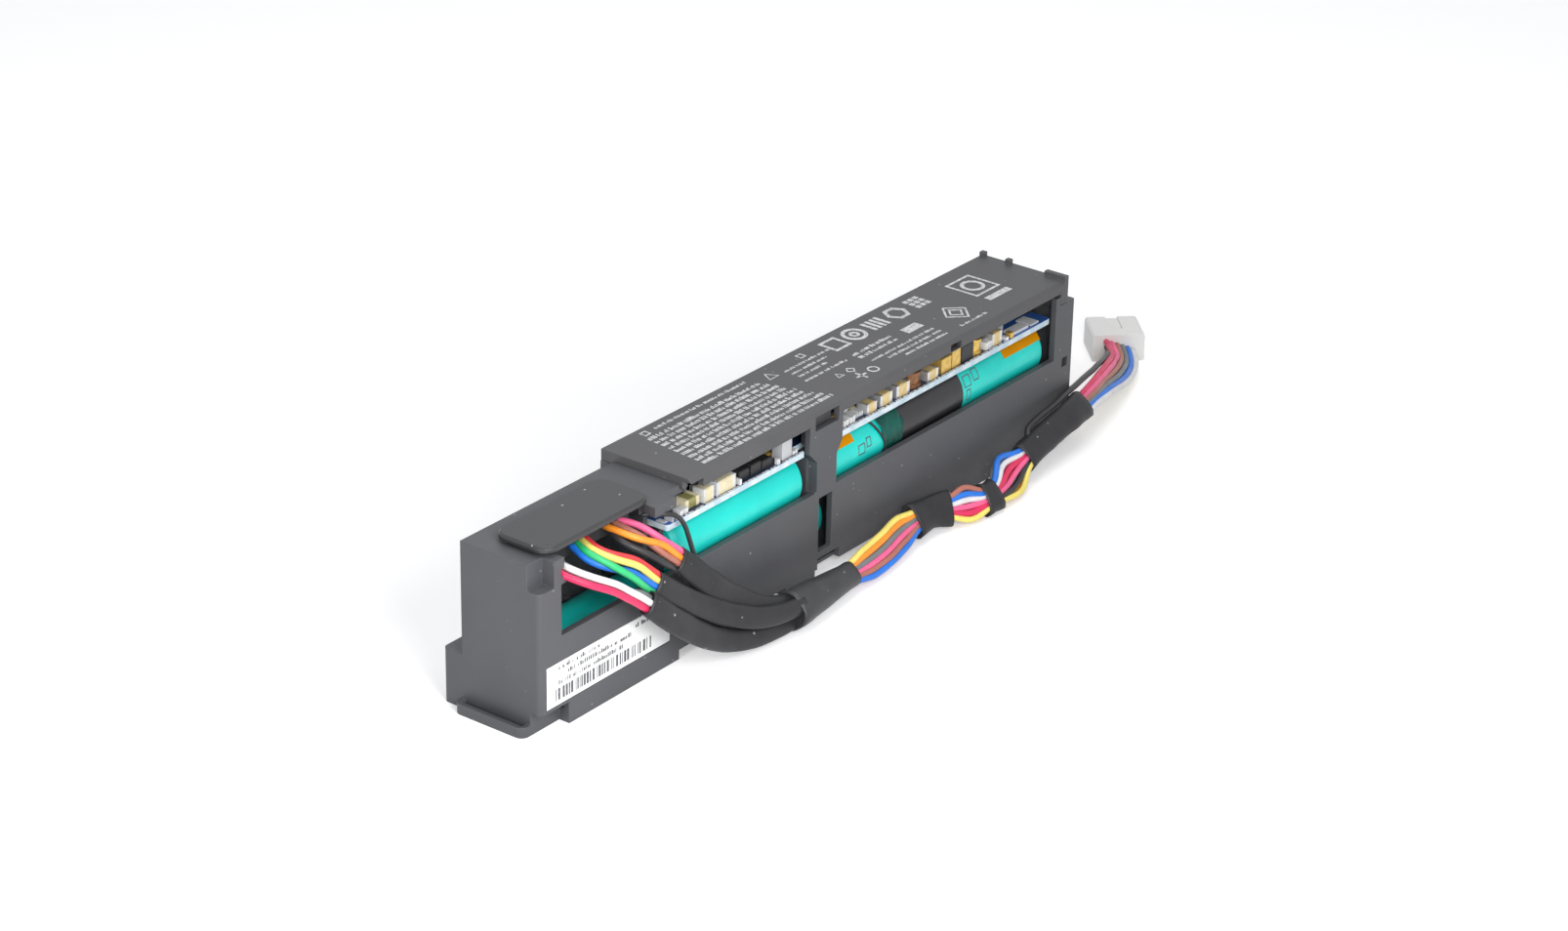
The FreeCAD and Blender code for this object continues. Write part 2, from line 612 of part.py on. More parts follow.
def make_board():
    """The board, with a notch at its front edge that clears the centre post."""
    plate = rounded_slab(BOARD_START, BOARD_END, BOARD_FRONT, BOARD_FRONT + BOARD_DEPTH,
                         BOARD_UNDERSIDE, BOARD_TOP, BOARD_CORNER)
    notch = box(BOARD_NOTCH_START, BOARD_NOTCH_END, BOARD_FRONT - PAST,
                BOARD_FRONT + BOARD_NOTCH_DEPTH, BOARD_UNDERSIDE - PAST, BOARD_TOP + PAST)
    return plate.cut(notch)


def on_board(x, length, depth, height, back=0.0):
    """A rectangular part that stands on the board, back from its front edge."""
    y0 = BOARD_FRONT + PART_FRONT_GAP + back
    return box(x, x + length, y0, y0 + depth, BOARD_TOP, BOARD_TOP + height)


def moulded_part(x, length, depth, height, back=0.0):
    """A moulded part with chamfered top edges."""
    block = on_board(x, length, depth, height, back)
    return block.makeChamfer(PART_CHAMFER, top_edges(block, BOARD_TOP + height))


def drum_coil(x, radius, height):
    """A wound coil between two flanges, turned from one outline."""
    centre = Vector(x + radius, BOARD_FRONT + PART_FRONT_GAP + radius, BOARD_TOP)
    flange = FLANGE_SHARE * height
    waist = WAIST_SHARE * radius
    outline = ((0, 0), (radius, 0), (radius, flange), (waist, flange), (waist, height - flange),
               (radius, height - flange), (radius, height), (0, height))
    corners = [centre + Vector(r, 0, z) for r, z in outline]
    face = Part.Face(Part.makePolygon(corners + corners[:1]))
    return face.revolve(centre, Vector(0, 0, 1), 360)


def board_parts():
    spacer_height = COVER_UNDERSIDE - BOARD_TOP
    return {
        "board_fuse": moulded_part(*FUSE),
        "tantalum_capacitors": Part.makeCompound([moulded_part(*sizes) for sizes in TANTALUM]),
        "control_chips": Part.makeCompound([moulded_part(*sizes) for sizes in CHIPS]),
        "board_spacer": on_board(SPACER_START, SPACER_LENGTH, SPACER_DEPTH, spacer_height),
        "beige_capacitors": Part.makeCompound([moulded_part(*sizes) for sizes in BEIGE]),
        "wound_coil": drum_coil(*WOUND_COIL),
        "gold_capacitors": Part.makeCompound([moulded_part(*sizes) for sizes in GOLD]),
        "gold_coil": drum_coil(*GOLD_COIL),
        "surface_parts": Part.makeCompound([on_board(*sizes) for sizes in SMALL]),
        "solder_pads": Part.makeCompound([on_board(*sizes) for sizes in SOLDER_PADS]),
    }


# Top cover

def cover_notches():
    """The three openings in the front edge of the cover, where it is unhooked."""
    places = ((COVER_START - PAST, END_LENGTH + LEFT_NOTCH_LENGTH, RIM_HEIGHT),
              (POST_SEAT_START, POST_SEAT_END, RIM_HEIGHT),
              (RIGHT_NOTCH[0], RIGHT_NOTCH[1], COVER_UNDERSIDE))
    return [box(x0, x1, -PAST, COVER_NOTCH_DEPTH, z0 - PAST, COVER_HEIGHT - COVER_NOTCH_ROOF)
            for x0, x1, z0 in places]


def cover_shell():
    """A shallow lid: a plate with a skirt all round and a chamfered front edge."""
    slab = box(COVER_START, COVER_END, 0, BODY_DEPTH, RIM_HEIGHT, COVER_HEIGHT)
    front = [edge for edge in top_edges(slab, COVER_HEIGHT)
             if all(abs(v.Y) < 1e-6 for v in edge.Vertexes)]
    slab = slab.makeChamfer(COVER_CHAMFER, front)
    hollow = box(COVER_START + COVER_SKIRT, COVER_END - COVER_SKIRT, COVER_SKIRT,
                 BODY_DEPTH - COVER_SKIRT, RIM_HEIGHT - PAST, COVER_UNDERSIDE)
    return slab.cut(hollow)


def cover_end():
    """The skirt behind the right wall, the corner block, the post's stop and the raised tabs."""
    inner = WALL + COVER_GAP
    skirt = box(COVER_END - COVER_SKIRT, COVER_END, inner, BODY_DEPTH - inner,
                RIM_HEIGHT - END_SKIRT_DROP, RIM_HEIGHT + SKIRT_LAP)
    block = box(COVER_END - CORNER_BLOCK, COVER_END, 0, CORNER_BLOCK_DEPTH,
                RIGHT_WALL_HEIGHT + COVER_GAP, COVER_UNDERSIDE)
    stop = box(POST_SEAT_START, POST_SEAT_END, COVER_NOTCH_DEPTH, COVER_NOTCH_DEPTH + COVER_SKIRT,
               BOARD_TOP + COVER_GAP, COVER_UNDERSIDE)
    pieces = [skirt, block, stop]
    for y0, y1 in (FRONT_TAB, MIDDLE_TAB, (BACK_TAB_START, BODY_DEPTH)):
        pieces.append(box(COVER_END - COVER_TAB_THICKNESS, COVER_END, y0, y1,
                          COVER_UNDERSIDE, COVER_HEIGHT + COVER_TAB))
    return pieces


def latch(x):
    """A latch leg inside the rear wall, with a nose that snaps into its window."""
    back = BODY_DEPTH - WALL - COVER_GAP
    front = back - LATCH_THICKNESS
    bottom = RIM_HEIGHT - LATCH_DROP
    nose_top = bottom + 2 * LATCH_NOSE
    outline = ((front, COVER_UNDERSIDE), (front, bottom), (back, bottom),
               (back + LATCH_NOSE, nose_top), (back, nose_top), (back, RIM_HEIGHT),
               (back + COVER_GAP, RIM_HEIGHT), (back + COVER_GAP, COVER_UNDERSIDE))
    return prism_along_x(outline, x - 0.5 * LATCH_WIDTH, x + 0.5 * LATCH_WIDTH)


def make_cover():
    lid = cover_shell().cut(cover_notches())
    return lid.fuse(cover_end() + [latch(x) for x in LATCH_PLACES]).removeSplitter()


# Wire cap

def make_cap():
    """The smooth cap over the wire opening, with the comb that holds the leads under it."""
    plate = rounded_slab(CAP_START, CAP_START + CAP_LENGTH, CAP_FRONT, CAP_FRONT + CAP_DEPTH,
                         CAP_UNDERSIDE, CAP_TOP, CAP_CORNER)
    plate = plate.makeChamfer(CAP_EDGE, top_edges(plate, CAP_TOP))
    base = rounded_slab(CAP_START + CAP_INSET, CAP_START + CAP_LENGTH - CAP_INSET,
                        CAP_FRONT + CAP_INSET, CAP_FRONT + CAP_DEPTH - CAP_INSET,
                        END_HEIGHT, CAP_UNDERSIDE + 0.5 * CAP_PLATE, CAP_CORNER - CAP_INSET)
    x0 = WIRE_OPENING_START + COVER_GAP
    x1 = RAIL_START - COVER_GAP
    comb = box(x0, x1, COMB_FACE, COMB_FACE + COMB_THICKNESS, COMB_BOTTOM, CAP_UNDERSIDE)
    cheek = box(x1 - CHEEK, x1, CAP_FRONT + CAP_INSET, COMB_FACE + COMB_THICKNESS,
                DECK_UNDERSIDE, CAP_UNDERSIDE)
    return plate.fuse([base, comb, cheek]).removeSplitter()


def make_sticker():
    return box(STICKER_START, STICKER_START + STICKER_LENGTH,
               STICKER_RECESS - STICKER_THICKNESS, STICKER_RECESS,
               STICKER_BOTTOM, STICKER_BOTTOM + STICKER_HEIGHT)


# Harness

def route(points):
    """Straight runs joined by tangent arcs, each as large as its two runs allow."""
    places = [Vector(*point) for point in points]
    edges = []
    radii = []
    start = places[0]
    for before, corner, after in zip(places, places[1:], places[2:]):
        to_before = before - corner
        to_after = after - corner
        shorter = min(to_before.Length, to_after.Length)
        to_before.normalize()
        to_after.normalize()
        half_turn = 0.5 * (math.pi - to_before.getAngle(to_after))
        setback = BEND_SHARE * shorter
        radius = setback / math.tan(half_turn)
        middle = to_before + to_after
        middle.normalize()
        entry = corner + to_before * setback
        leave = corner + to_after * setback
        crown = corner + middle * (radius / math.cos(half_turn) - radius)
        edges.append(Part.LineSegment(start, entry).toShape())
        edges.append(Part.Arc(entry, crown, leave).toShape())
        radii.append(radius)
        start = leave
    edges.append(Part.LineSegment(start, places[-1]).toShape())
    return Part.Wire(edges), radii


def round_section(centre, towards, radius):
    """A many-sided section, which keeps a long tube light."""
    corners = []
    for i in range(TUBE_SIDES):
        turn = 2 * math.pi * i / TUBE_SIDES
        corners.append(Vector(radius * math.cos(turn), radius * math.sin(turn), 0))
    face = Part.Face(Part.makePolygon(corners + corners[:1]))
    face.Placement = FreeCAD.Placement(centre, FreeCAD.Rotation(Vector(0, 0, 1), towards - centre))
    return face


def tube(name, points, diameter):
    """A plain tube along a route; it reports its bends and how full its volume is."""
    path, radii = route(points)
    section = round_section(Vector(*points[0]), Vector(*points[1]), 0.5 * diameter)
    solid = path.makePipe(section)
    expected = section.Area * path.Length
    print(name, "length", round(path.Length, 1), "radii", [round(r, 1) for r in radii],
          "volume over section times length", round(solid.Volume / expected, 4))
    return solid


def make_boot():
    """The wrap where the three leads become one harness: a cone with upright ends."""
    start = Vector(*BOOT_START_POINT)
    end = Vector(*BOOT_END_POINT)
    along = end - start
    taper = (BOOT_START_RADIUS - BOOT_END_RADIUS) / along.Length
    reach = along.Length + 2 * PAST
    base = start - Vector(along).normalize() * PAST
    base_radius = BOOT_START_RADIUS + taper * PAST
    cone = Part.makeCone(base_radius, base_radius - taper * reach, reach, base, along)
    wide = 2 * BOOT_START_RADIUS
    return cone.common(box(start.x, end.x, start.y - wide, start.y + wide, 0, 2 * wide))


def connector_place():
    """The harness's end, turned so that x runs on along the harness."""
    end = Vector(*HARNESS_POINTS[-1])
    along = end - Vector(*HARNESS_POINTS[-2])
    angle = math.degrees(math.atan2(along.y, along.x))
    return FreeCAD.Placement(Vector(end.x, end.y, 0), FreeCAD.Rotation(Vector(0, 0, 1), angle))


def terminal_places():
    pitch = (CONNECTOR_WIDTH - 2 * CONNECTOR_WALL) / CONNECTOR_WAYS
    rows = [share * CONNECTOR_HEIGHT for share in TERMINAL_ROWS]
    middle = 0.5 * (CONNECTOR_WAYS - 1)
    return [((i - middle) * pitch, z) for i in range(CONNECTOR_WAYS) for z in rows]


def make_connector():
    """The two-row shell: a socket for each terminal and a keyway on top."""
    half = 0.5 * CONNECTOR_WIDTH
    shell = box(0, CONNECTOR_LENGTH, -half, half, 0, CONNECTOR_HEIGHT)
    long_edges = [edge for edge in shell.Edges
                  if abs(edge.Vertexes[0].X - edge.Vertexes[-1].X) > 0.5 * CONNECTOR_LENGTH]
    shell = shell.makeChamfer(CONNECTOR_EDGE, long_edges)
    room = 0.5 * TERMINAL_SIZE
    x0 = CONNECTOR_LENGTH - TERMINAL_LENGTH - TERMINAL_INSET
    holes = [box(x0, CONNECTOR_LENGTH + PAST, y - room, y + room, z - room, z + room)
             for y, z in terminal_places()]
    key_half = KEY_HALF_SHARE * CONNECTOR_WIDTH
    key = box(KEY_START_SHARE * CONNECTOR_LENGTH, CONNECTOR_LENGTH + PAST, -key_half, key_half,
              CONNECTOR_HEIGHT - KEY_DEPTH, CONNECTOR_HEIGHT + PAST)
    shell = shell.cut(holes + [key])
    shell.Placement = connector_place()
    return shell


def make_terminals():
    x1 = CONNECTOR_LENGTH - TERMINAL_INSET
    room = 0.5 * TERMINAL_SIZE
    group = Part.makeCompound([
        box(x1 - TERMINAL_LENGTH, x1, y - room, y + room, z - room, z + room)
        for y, z in terminal_places()])
    group.Placement = connector_place()
    return group


def all_nodes():
    nodes = {"housing": make_housing()}
    nodes.update(cells())
    nodes["cell_band"] = make_band()
    nodes["amber_pad_left"] = amber_pad(LEFT_PAD_START, LEFT_PAD_LENGTH)
    nodes["amber_pad_right"] = amber_pad(RIGHT_PAD_START, RIGHT_PAD_LENGTH)
    nodes.update(tabs())
    nodes["circuit_board"] = make_board()
    nodes.update(board_parts())
    nodes["top_cover"] = make_cover()
    nodes["wire_cap"] = make_cap()
    nodes["sticker"] = make_sticker()
    nodes["lead_lower"] = tube("lead_lower", LOWER_LEAD_POINTS, LEAD_DIAMETER)
    nodes["lead_middle"] = tube("lead_middle", MIDDLE_LEAD_POINTS, LEAD_DIAMETER)
    nodes["lead_upper"] = tube("lead_upper", UPPER_LEAD_POINTS, LEAD_DIAMETER)
    nodes["lead_boot"] = make_boot()
    nodes["harness_lead"] = tube("harness_lead", HARNESS_POINTS, HARNESS_DIAMETER)
    nodes["connector_shell"] = make_connector()
    nodes["connector_terminals"] = make_terminals()
    return nodes


os.makedirs("parts", exist_ok=True)
# The saved origin is under the middle of the housing and its lip, on the resting plane.
to_origin = Vector(-0.5 * (HOUSING_LENGTH - LIP_REACH), -0.5 * LEDGE_DEPTH, 0)
print("origin moved by", round(to_origin.x, 3), round(to_origin.y, 3))
print("upper row", round(UPPER_CELL_Y, 2), round(UPPER_CELL_Z, 2), "lower row",
      round(LOWER_CELL_Y, 2), round(LOWER_CELL_Z, 2), "board top", round(BOARD_TOP, 2))
for node_name, node_shape in all_nodes().items():
    placed = node_shape.copy()
    placed.translate(to_origin)
    placed.exportStep("parts/" + node_name + ".step")
    print(node_name, "solids", len(placed.Solids), "volume", round(placed.Volume, 1),
          "valid", placed.isValid())
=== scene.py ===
# %% [markdown]
# # Dressing a RAID battery module
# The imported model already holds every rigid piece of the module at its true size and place.
# This lesson adds what a solid can't carry: the wires of the harness, the print, and a finish
# for each material. Lengths are written in millimetres, as a maker would measure them, and
# are turned into Blender's metres by one small function.

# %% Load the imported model
import math
import random

import bmesh
import bpy
from mathutils import Matrix, Vector, noise


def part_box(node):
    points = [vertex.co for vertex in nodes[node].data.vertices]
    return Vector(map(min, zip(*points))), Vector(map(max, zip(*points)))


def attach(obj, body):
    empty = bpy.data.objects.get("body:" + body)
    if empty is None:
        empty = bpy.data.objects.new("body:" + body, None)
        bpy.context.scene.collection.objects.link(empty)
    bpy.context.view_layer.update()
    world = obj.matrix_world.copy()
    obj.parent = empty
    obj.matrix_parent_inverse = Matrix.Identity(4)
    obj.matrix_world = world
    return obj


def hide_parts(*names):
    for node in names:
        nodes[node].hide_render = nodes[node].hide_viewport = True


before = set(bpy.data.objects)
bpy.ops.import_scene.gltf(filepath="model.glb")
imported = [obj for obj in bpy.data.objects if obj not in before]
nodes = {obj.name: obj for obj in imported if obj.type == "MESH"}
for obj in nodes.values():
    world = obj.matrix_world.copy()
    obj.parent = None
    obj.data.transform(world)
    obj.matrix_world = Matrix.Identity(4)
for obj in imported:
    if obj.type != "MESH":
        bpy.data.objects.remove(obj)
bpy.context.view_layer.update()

# %% [markdown]
# ## One ruler for everything
# All sizes below are measured from the housing's left end, the outer face of its front wall
# and the plane that its feet stand on. The model's origin is under the housing's middle, so
# a point is moved there once, in one place, and never by hand.

# %% From the maker's ruler to the model's frame
MIDDLE_X = 99.0
MIDDLE_Y = 13.65


def at(x, y, z):
    """A point in metres in the model's frame, from millimetres on the maker's ruler."""
    return Vector(((x - MIDDLE_X) / 1000, (y - MIDDLE_Y) / 1000, z / 1000))


def mm(length):
    return length / 1000


print("left front foot", at(9.3, 0, 0))

# %% [markdown]
# ## The camera
# The photograph looks down on the module from its deck end, with a long lens. Two angles and a
# small roll give the camera's three axes, and a matrix made of those axes turns it. That is
# surer than Euler angles, because it says exactly where right, up and back point.

# %% Camera at the photograph's angle
scene = bpy.context.scene


def place_object(name, data):
    """Puts a new object with this data into the scene."""
    thing = bpy.data.objects.new(name, data)
    scene.collection.objects.link(thing)
    return thing


PHOTO_WIDTH = 1606
FOCAL_PIXELS = 3942.35
PHOTO_ANGLES = (-53.2, 25.33, 1.21)
LOOKED_AT = (0, 0, 20)
EYE_BACK, EYE_RIGHT, EYE_UP = 801.55, 50.81, 39.74
azimuth, elevation, roll = (math.radians(angle) for angle in PHOTO_ANGLES)
back = Vector((math.sin(azimuth) * math.cos(elevation),
               -math.cos(azimuth) * math.cos(elevation),
               math.sin(elevation)))
level_right = Vector((math.cos(azimuth), math.sin(azimuth), 0))
level_up = back.cross(level_right)
right = level_right * math.cos(roll) + level_up * math.sin(roll)
upward = level_up * math.cos(roll) - level_right * math.sin(roll)
eye = at(*LOOKED_AT) + mm(EYE_BACK) * back + mm(EYE_RIGHT) * right + mm(EYE_UP) * upward

camera_data = bpy.data.cameras.new("photo_camera")
camera_data.sensor_fit = "HORIZONTAL"
camera_data.sensor_width = 36
camera_data.lens = FOCAL_PIXELS / PHOTO_WIDTH * camera_data.sensor_width
camera_data.clip_start = 0.05
camera = place_object("photo_camera", camera_data)
camera.matrix_world = Matrix((
    (right.x, upward.x, back.x, eye.x),
    (right.y, upward.y, back.y, eye.y),
    (right.z, upward.z, back.z, eye.z),
    (0, 0, 0, 1)))
scene.camera = camera
print("lens", round(camera_data.lens, 2), "eye", eye)

# %% [markdown]
# ## Node helpers
# Every finish below is a small tree of shader nodes. Each helper adds one node to the tree that
# its first socket belongs to, links or sets what goes in, and gives back what comes out. So a
# finish reads like the few layers that it is made of, and not like wiring.

# %% Node helpers
def give(socket, value):
    """Links a value to a socket, or sets the socket's own value."""
    if isinstance(value, bpy.types.NodeSocket):
        socket.id_data.links.new(value, socket)
    elif socket.type == "RGBA":
        socket.default_value = (*value, 1)
    else:
        socket.default_value = value


def feed(node, **values):
    """Gives a node's sockets their values; an underscore stands for a space."""
    for title, value in values.items():
        give(node.inputs[title.replace("_", " ")], value)


def new_group(name, inputs, outputs):
    group = bpy.data.node_groups.new(name, "ShaderNodeTree")
    for title, value in inputs:
        socket = group.interface.new_socket(name=title, in_out="INPUT",
                                            socket_type="NodeSocketFloat")
        socket.default_value = value
    for title, kind in outputs:
        group.interface.new_socket(name=title, in_out="OUTPUT", socket_type=kind)
    return group, group.nodes.new("NodeGroupInput"), group.nodes.new("NodeGroupOutput")


def use_group(tree, group, **values):
    node = tree.nodes.new("ShaderNodeGroup")
    node.node_tree = group
    feed(node, **values)
    return node


def new_material(name):
    """A material, with its node tree and its shader."""
    material = bpy.data.materials.new(name)
    material.use_nodes = True
    return material, material.node_tree, material.node_tree.nodes["Principled BSDF"]


def object_coordinates(tree):
    return tree.nodes.new("ShaderNodeTexCoord").outputs["Object"]


def add_noise(vector, scale, detail, roughness):
    """A cloudy pattern with its scale, detail and roughness."""
    node = vector.id_data.nodes.new("ShaderNodeTexNoise")
    feed(node, Vector=vector, Scale=scale, Detail=detail, Roughness=roughness)
    return node.outputs["Fac"]


def add_math(operation, first, second):
    node = first.id_data.nodes.new("ShaderNodeMath")
    node.operation = operation
    give(node.inputs[0], first)
    give(node.inputs[1], second)
    return node.outputs[0]


def add_range(value, low, high, to_low=0.0, to_high=1.0):
    node = value.id_data.nodes.new("ShaderNodeMapRange")
    node.clamp = True
    feed(node, Value=value, From_Min=low, From_Max=high, To_Min=to_low, To_Max=to_high)
    return node.outputs["Result"]


def add_mix(mask, first, second):
    """Two colours, the second one where the mask is."""
    node = mask.id_data.nodes.new("ShaderNodeMix")
    node.data_type = "RGBA"
    for number, value in ((0, mask), (6, first), (7, second)):
        give(node.inputs[number], value)
    return node.outputs[2]


def add_layer(mask, share, below, above):
    """Lays one colour over another where the mask is, only as strongly as the share."""
    return add_mix(add_math("MULTIPLY", mask, share), below, above)


def add_bump(shader, height, strength, depth, normal=None):
    """Lets a height shape the shader's normal; the depth is in millimetres."""
    node = shader.id_data.nodes.new("ShaderNodeBump")
    feed(node, Height=height, Strength=strength, Distance=mm(depth))
    if normal is not None:
        feed(node, Normal=normal)
    feed(shader, Normal=node.outputs["Normal"])


print("node helpers", feed.__name__, add_noise.__name__, add_mix.__name__, add_bump.__name__)

# %% [markdown]
# ## Floor and light
# The module stands on a pale sheet under soft light, as in a plain product photograph. The
# floor is white paint that also glows a little, but only for the camera and for reflections:
# so it reads as a white background, keeps the soft shadow under the module, and adds no light.
# It glows more away from the module, where less of the lamps' light falls.

# %% Pale floor
FLOOR_HALF = 4
FLOOR_TINT = (0.80, 0.80, 0.81)
GLOW_START, GLOW_END = 0.10, 0.24
GLOW_NEAR, GLOW_FAR = 0.34, 0.52
scene.view_settings.view_transform = "Standard"


def seen_directly(tree):
    """1 for camera, glossy and transmission rays, and 0 for the rest."""
    path = tree.nodes.new("ShaderNodeLightPath")
    seen = add_math("MAXIMUM", path.outputs["Is Camera Ray"], path.outputs["Is Glossy Ray"])
    return add_math("MAXIMUM", seen, path.outputs["Is Transmission Ray"])


floor_paint, floor_tree, floor_shader = new_material("floor_paint")
from_middle = floor_tree.nodes.new("ShaderNodeVectorMath")
from_middle.operation = "LENGTH"
give(from_middle.inputs[0], object_coordinates(floor_tree))
glow = add_range(from_middle.outputs["Value"], GLOW_START, GLOW_END, GLOW_NEAR, GLOW_FAR)
glow = add_math("MULTIPLY", glow, seen_directly(floor_tree))
feed(floor_shader, Base_Color=FLOOR_TINT, Roughness=0.9, Specular_IOR_Level=0.1,
     Emission_Color=(1, 1, 1), Emission_Strength=glow)
floor_sheet = bmesh.new()
bmesh.ops.create_grid(floor_sheet, x_segments=1, y_segments=1, size=FLOOR_HALF)
floor_mesh = bpy.data.meshes.new("pale_floor")
floor_sheet.to_mesh(floor_mesh)
floor_sheet.free()
floor_mesh.materials.append(floor_paint)
floor = place_object("pale_floor", floor_mesh)
print("floor", [round(side, 2) for side in floor.dimensions])

# %% [markdown]
# ## Lamps
# Product photographs are lit by softboxes: large, even and close. The key lamp stands low in
# front of the deck, so the light falls off along the front wall as it does in the photograph.
# A second lamp lights the end, a third fills, and a large one hangs above. The camera
# doesn't see them.

# %% Soft lamps and a pale surround
def softbox(name, place, aim, size, watts):
    """A square lamp that looks at a point."""
    lamp_data = bpy.data.lights.new(name, "AREA")
    lamp_data.shape = "SQUARE"
    lamp_data.size = size
    lamp_data.energy = watts
    lamp = place_object(name, lamp_data)
    lamp.location = place
    lamp.visible_camera = False
    lamp.rotation_euler = (Vector(aim) - Vector(place)).to_track_quat("-Z", "Y").to_euler()


softbox("key_lamp", (-0.17, -0.23, 0.17), (-0.06, 0, 0.02), 0.15, 0.86)
softbox("side_lamp", (-0.62, -0.10, 0.26), (-0.1, 0, 0.02), 0.3, 1.55)
softbox("fill_lamp", (0.75, -0.60, 0.55), (0.05, 0, 0.02), 0.6, 0.05)
softbox("top_lamp", (0.08, -0.02, 0.78), (0.01, 0, 0.03), 0.55, 2.5)

SURROUND_TINT = (0.96, 0.98, 1.0)
SURROUND_LIGHT = 0.26
world = bpy.data.worlds.new("pale_surround")
scene.world = world
world.use_nodes = True
sky_tree = world.node_tree
feed(sky_tree.nodes["Background"], Color=SURROUND_TINT,
     Strength=add_range(seen_directly(sky_tree), 0, 1, SURROUND_LIGHT, 1))
print("lamps", [light.name for light in bpy.data.lights])

# %% [markdown]
# ## Helpers for pieces
# Boxes come from the cube operator, scaled by a matrix, with their edges bevelled where they
# are large enough to see.

# %% Pieces from a bmesh
def make_piece(name, bm, materials, slot, smooth=False):
    """Turns a bmesh into a finished piece of the module."""
    bmesh.ops.recalc_face_normals(bm, faces=bm.faces)
    mesh = bpy.data.meshes.new(name)
    bm.to_mesh(mesh)
    bm.free()
    for material in materials:
        mesh.materials.append(material)
    for polygon in mesh.polygons:
        polygon.use_smooth = smooth
    piece = place_object(name, mesh)
    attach(piece, "root")
    print(name, "faces", len(mesh.polygons))
    return piece


def add_block(bm, low, high, bevel=0.0, slot=0):
    """Adds a box between two corners on the maker's ruler."""
    low, high = at(*low), at(*high)
    place = Matrix.Translation((low + high) / 2) @ Matrix.Diagonal((*(high - low), 1))
    verts = bmesh.ops.create_cube(bm, size=1, matrix=place)["verts"]
    for face in {face for vert in verts for face in vert.link_faces}:
        face.material_index = slot
    if bevel:
        edges = list({edge for vert in verts for edge in vert.link_edges})
        bmesh.ops.bevel(bm, geom=edges, offset=mm(bevel), offset_type="OFFSET", segments=2,
                        profile=0.5, affect="EDGES", material=-1)


def thicken(bm, thickness):
    """Gives a thin sheet its thickness."""
    bmesh.ops.recalc_face_normals(bm, faces=bm.faces)
    bmesh.ops.solidify(bm, geom=bm.faces, thickness=mm(thickness))


print("helpers", make_piece.__name__, add_block.__name__, thicken.__name__)

# %% [markdown]
# ## Lines for wires
# A wire follows a smooth line through a few points, and a NURBS spline draws that line. The
# spline is read back as closely spaced points. From those come a length, and at each place two
# directions, one across the bundle and one out of it. A reference direction that changes
# slowly along the line says which way is out, so that a ribbon of wires never twists by chance.

# %% Reading a smooth line
ROUTE_STEPS = 12
AXIS_REACH = 0.8
MERGE = 0.001


def add_spline(curve, places):
    """Adds one open NURBS line that follows the given places."""
    spline = curve.splines.new("NURBS")
    spline.points.add(len(places) - 1)
    for control, place in zip(spline.points, places):
        control.co = (*place, 1)
    spline.order_u = 3
    spline.use_endpoint_u = True
    return spline


def drawn(curve):
    """The mesh that a curve draws; the curve itself is removed."""
    holder = place_object(curve.name, curve)
    bpy.context.view_layer.update()
    mesh = bpy.data.meshes.new_from_object(holder)
    bpy.data.objects.remove(holder)
    bpy.data.curves.remove(curve)
    return mesh


def read_route(points):
    """The smooth line of a route, as closely spaced points."""
    curve = bpy.data.curves.new("route", "CURVE")
    curve.dimensions = "3D"
    curve.resolution_u = ROUTE_STEPS
    add_spline(curve, [at(*point) for point in points])
    mesh = drawn(curve)
    line = [vert.co.copy() for vert in mesh.vertices]
    bpy.data.meshes.remove(mesh)
    return line


class Line:
    """A smooth line that can be asked for a place at a distance in millimetres."""

    def __init__(self, points, outs):
        self.points = read_route(points)
        self.outs = [(distance, Vector(out)) for distance, out in outs]
        self.reach = [0.0]
        for before, after in zip(self.points, self.points[1:]):
            self.reach.append(self.reach[-1] + 1000 * (after - before).length)
        self.length = self.reach[-1]

    def point(self, distance):
        distance = min(max(distance, 0.0), self.length)
        for i in range(len(self.reach) - 1):
            if distance <= self.reach[i + 1]:
                share = (distance - self.reach[i]) / (self.reach[i + 1] - self.reach[i])
                return self.points[i].lerp(self.points[i + 1], share)
        return self.points[-1].copy()

    def out(self, distance):
        for (d0, out0), (d1, out1) in zip(self.outs, self.outs[1:]):
            if distance <= d1:
                share = min(max((distance - d0) / (d1 - d0), 0.0), 1.0)
                return out0.lerp(out1, share)
        return self.outs[-1][1].copy()

    def axes(self, distance):
        """The direction along, across and out of the line."""
        along = self.point(distance + AXIS_REACH) - self.point(distance - AXIS_REACH)
        along.normalize()
        out = self.out(distance)
        out = (out - out.dot(along) * along).normalized()
        return along, along.cross(out), out

    def place(self, distance, across, over):
        """A point beside the line."""
        along, side, out = self.axes(distance)
        return self.point(distance) + mm(across) * side + mm(over) * out

    def nearest(self, x):
        """The distance at which the line passes a place along the housing."""
        target = at(x, 0, 0).x
        best = min(range(len(self.points)), key=lambda i: abs(self.points[i].x - target))
        return self.reach[best]


# %% [markdown]
# ## The harness routes
# The module's wires leave it under the wire cap in three groups, run down the front wall and
# meet in a wrapped boot. From there they run on as one loose bundle to the plug. The routes
# repeat the points of the solids, so that the wires lie where the tubes of the model lie.

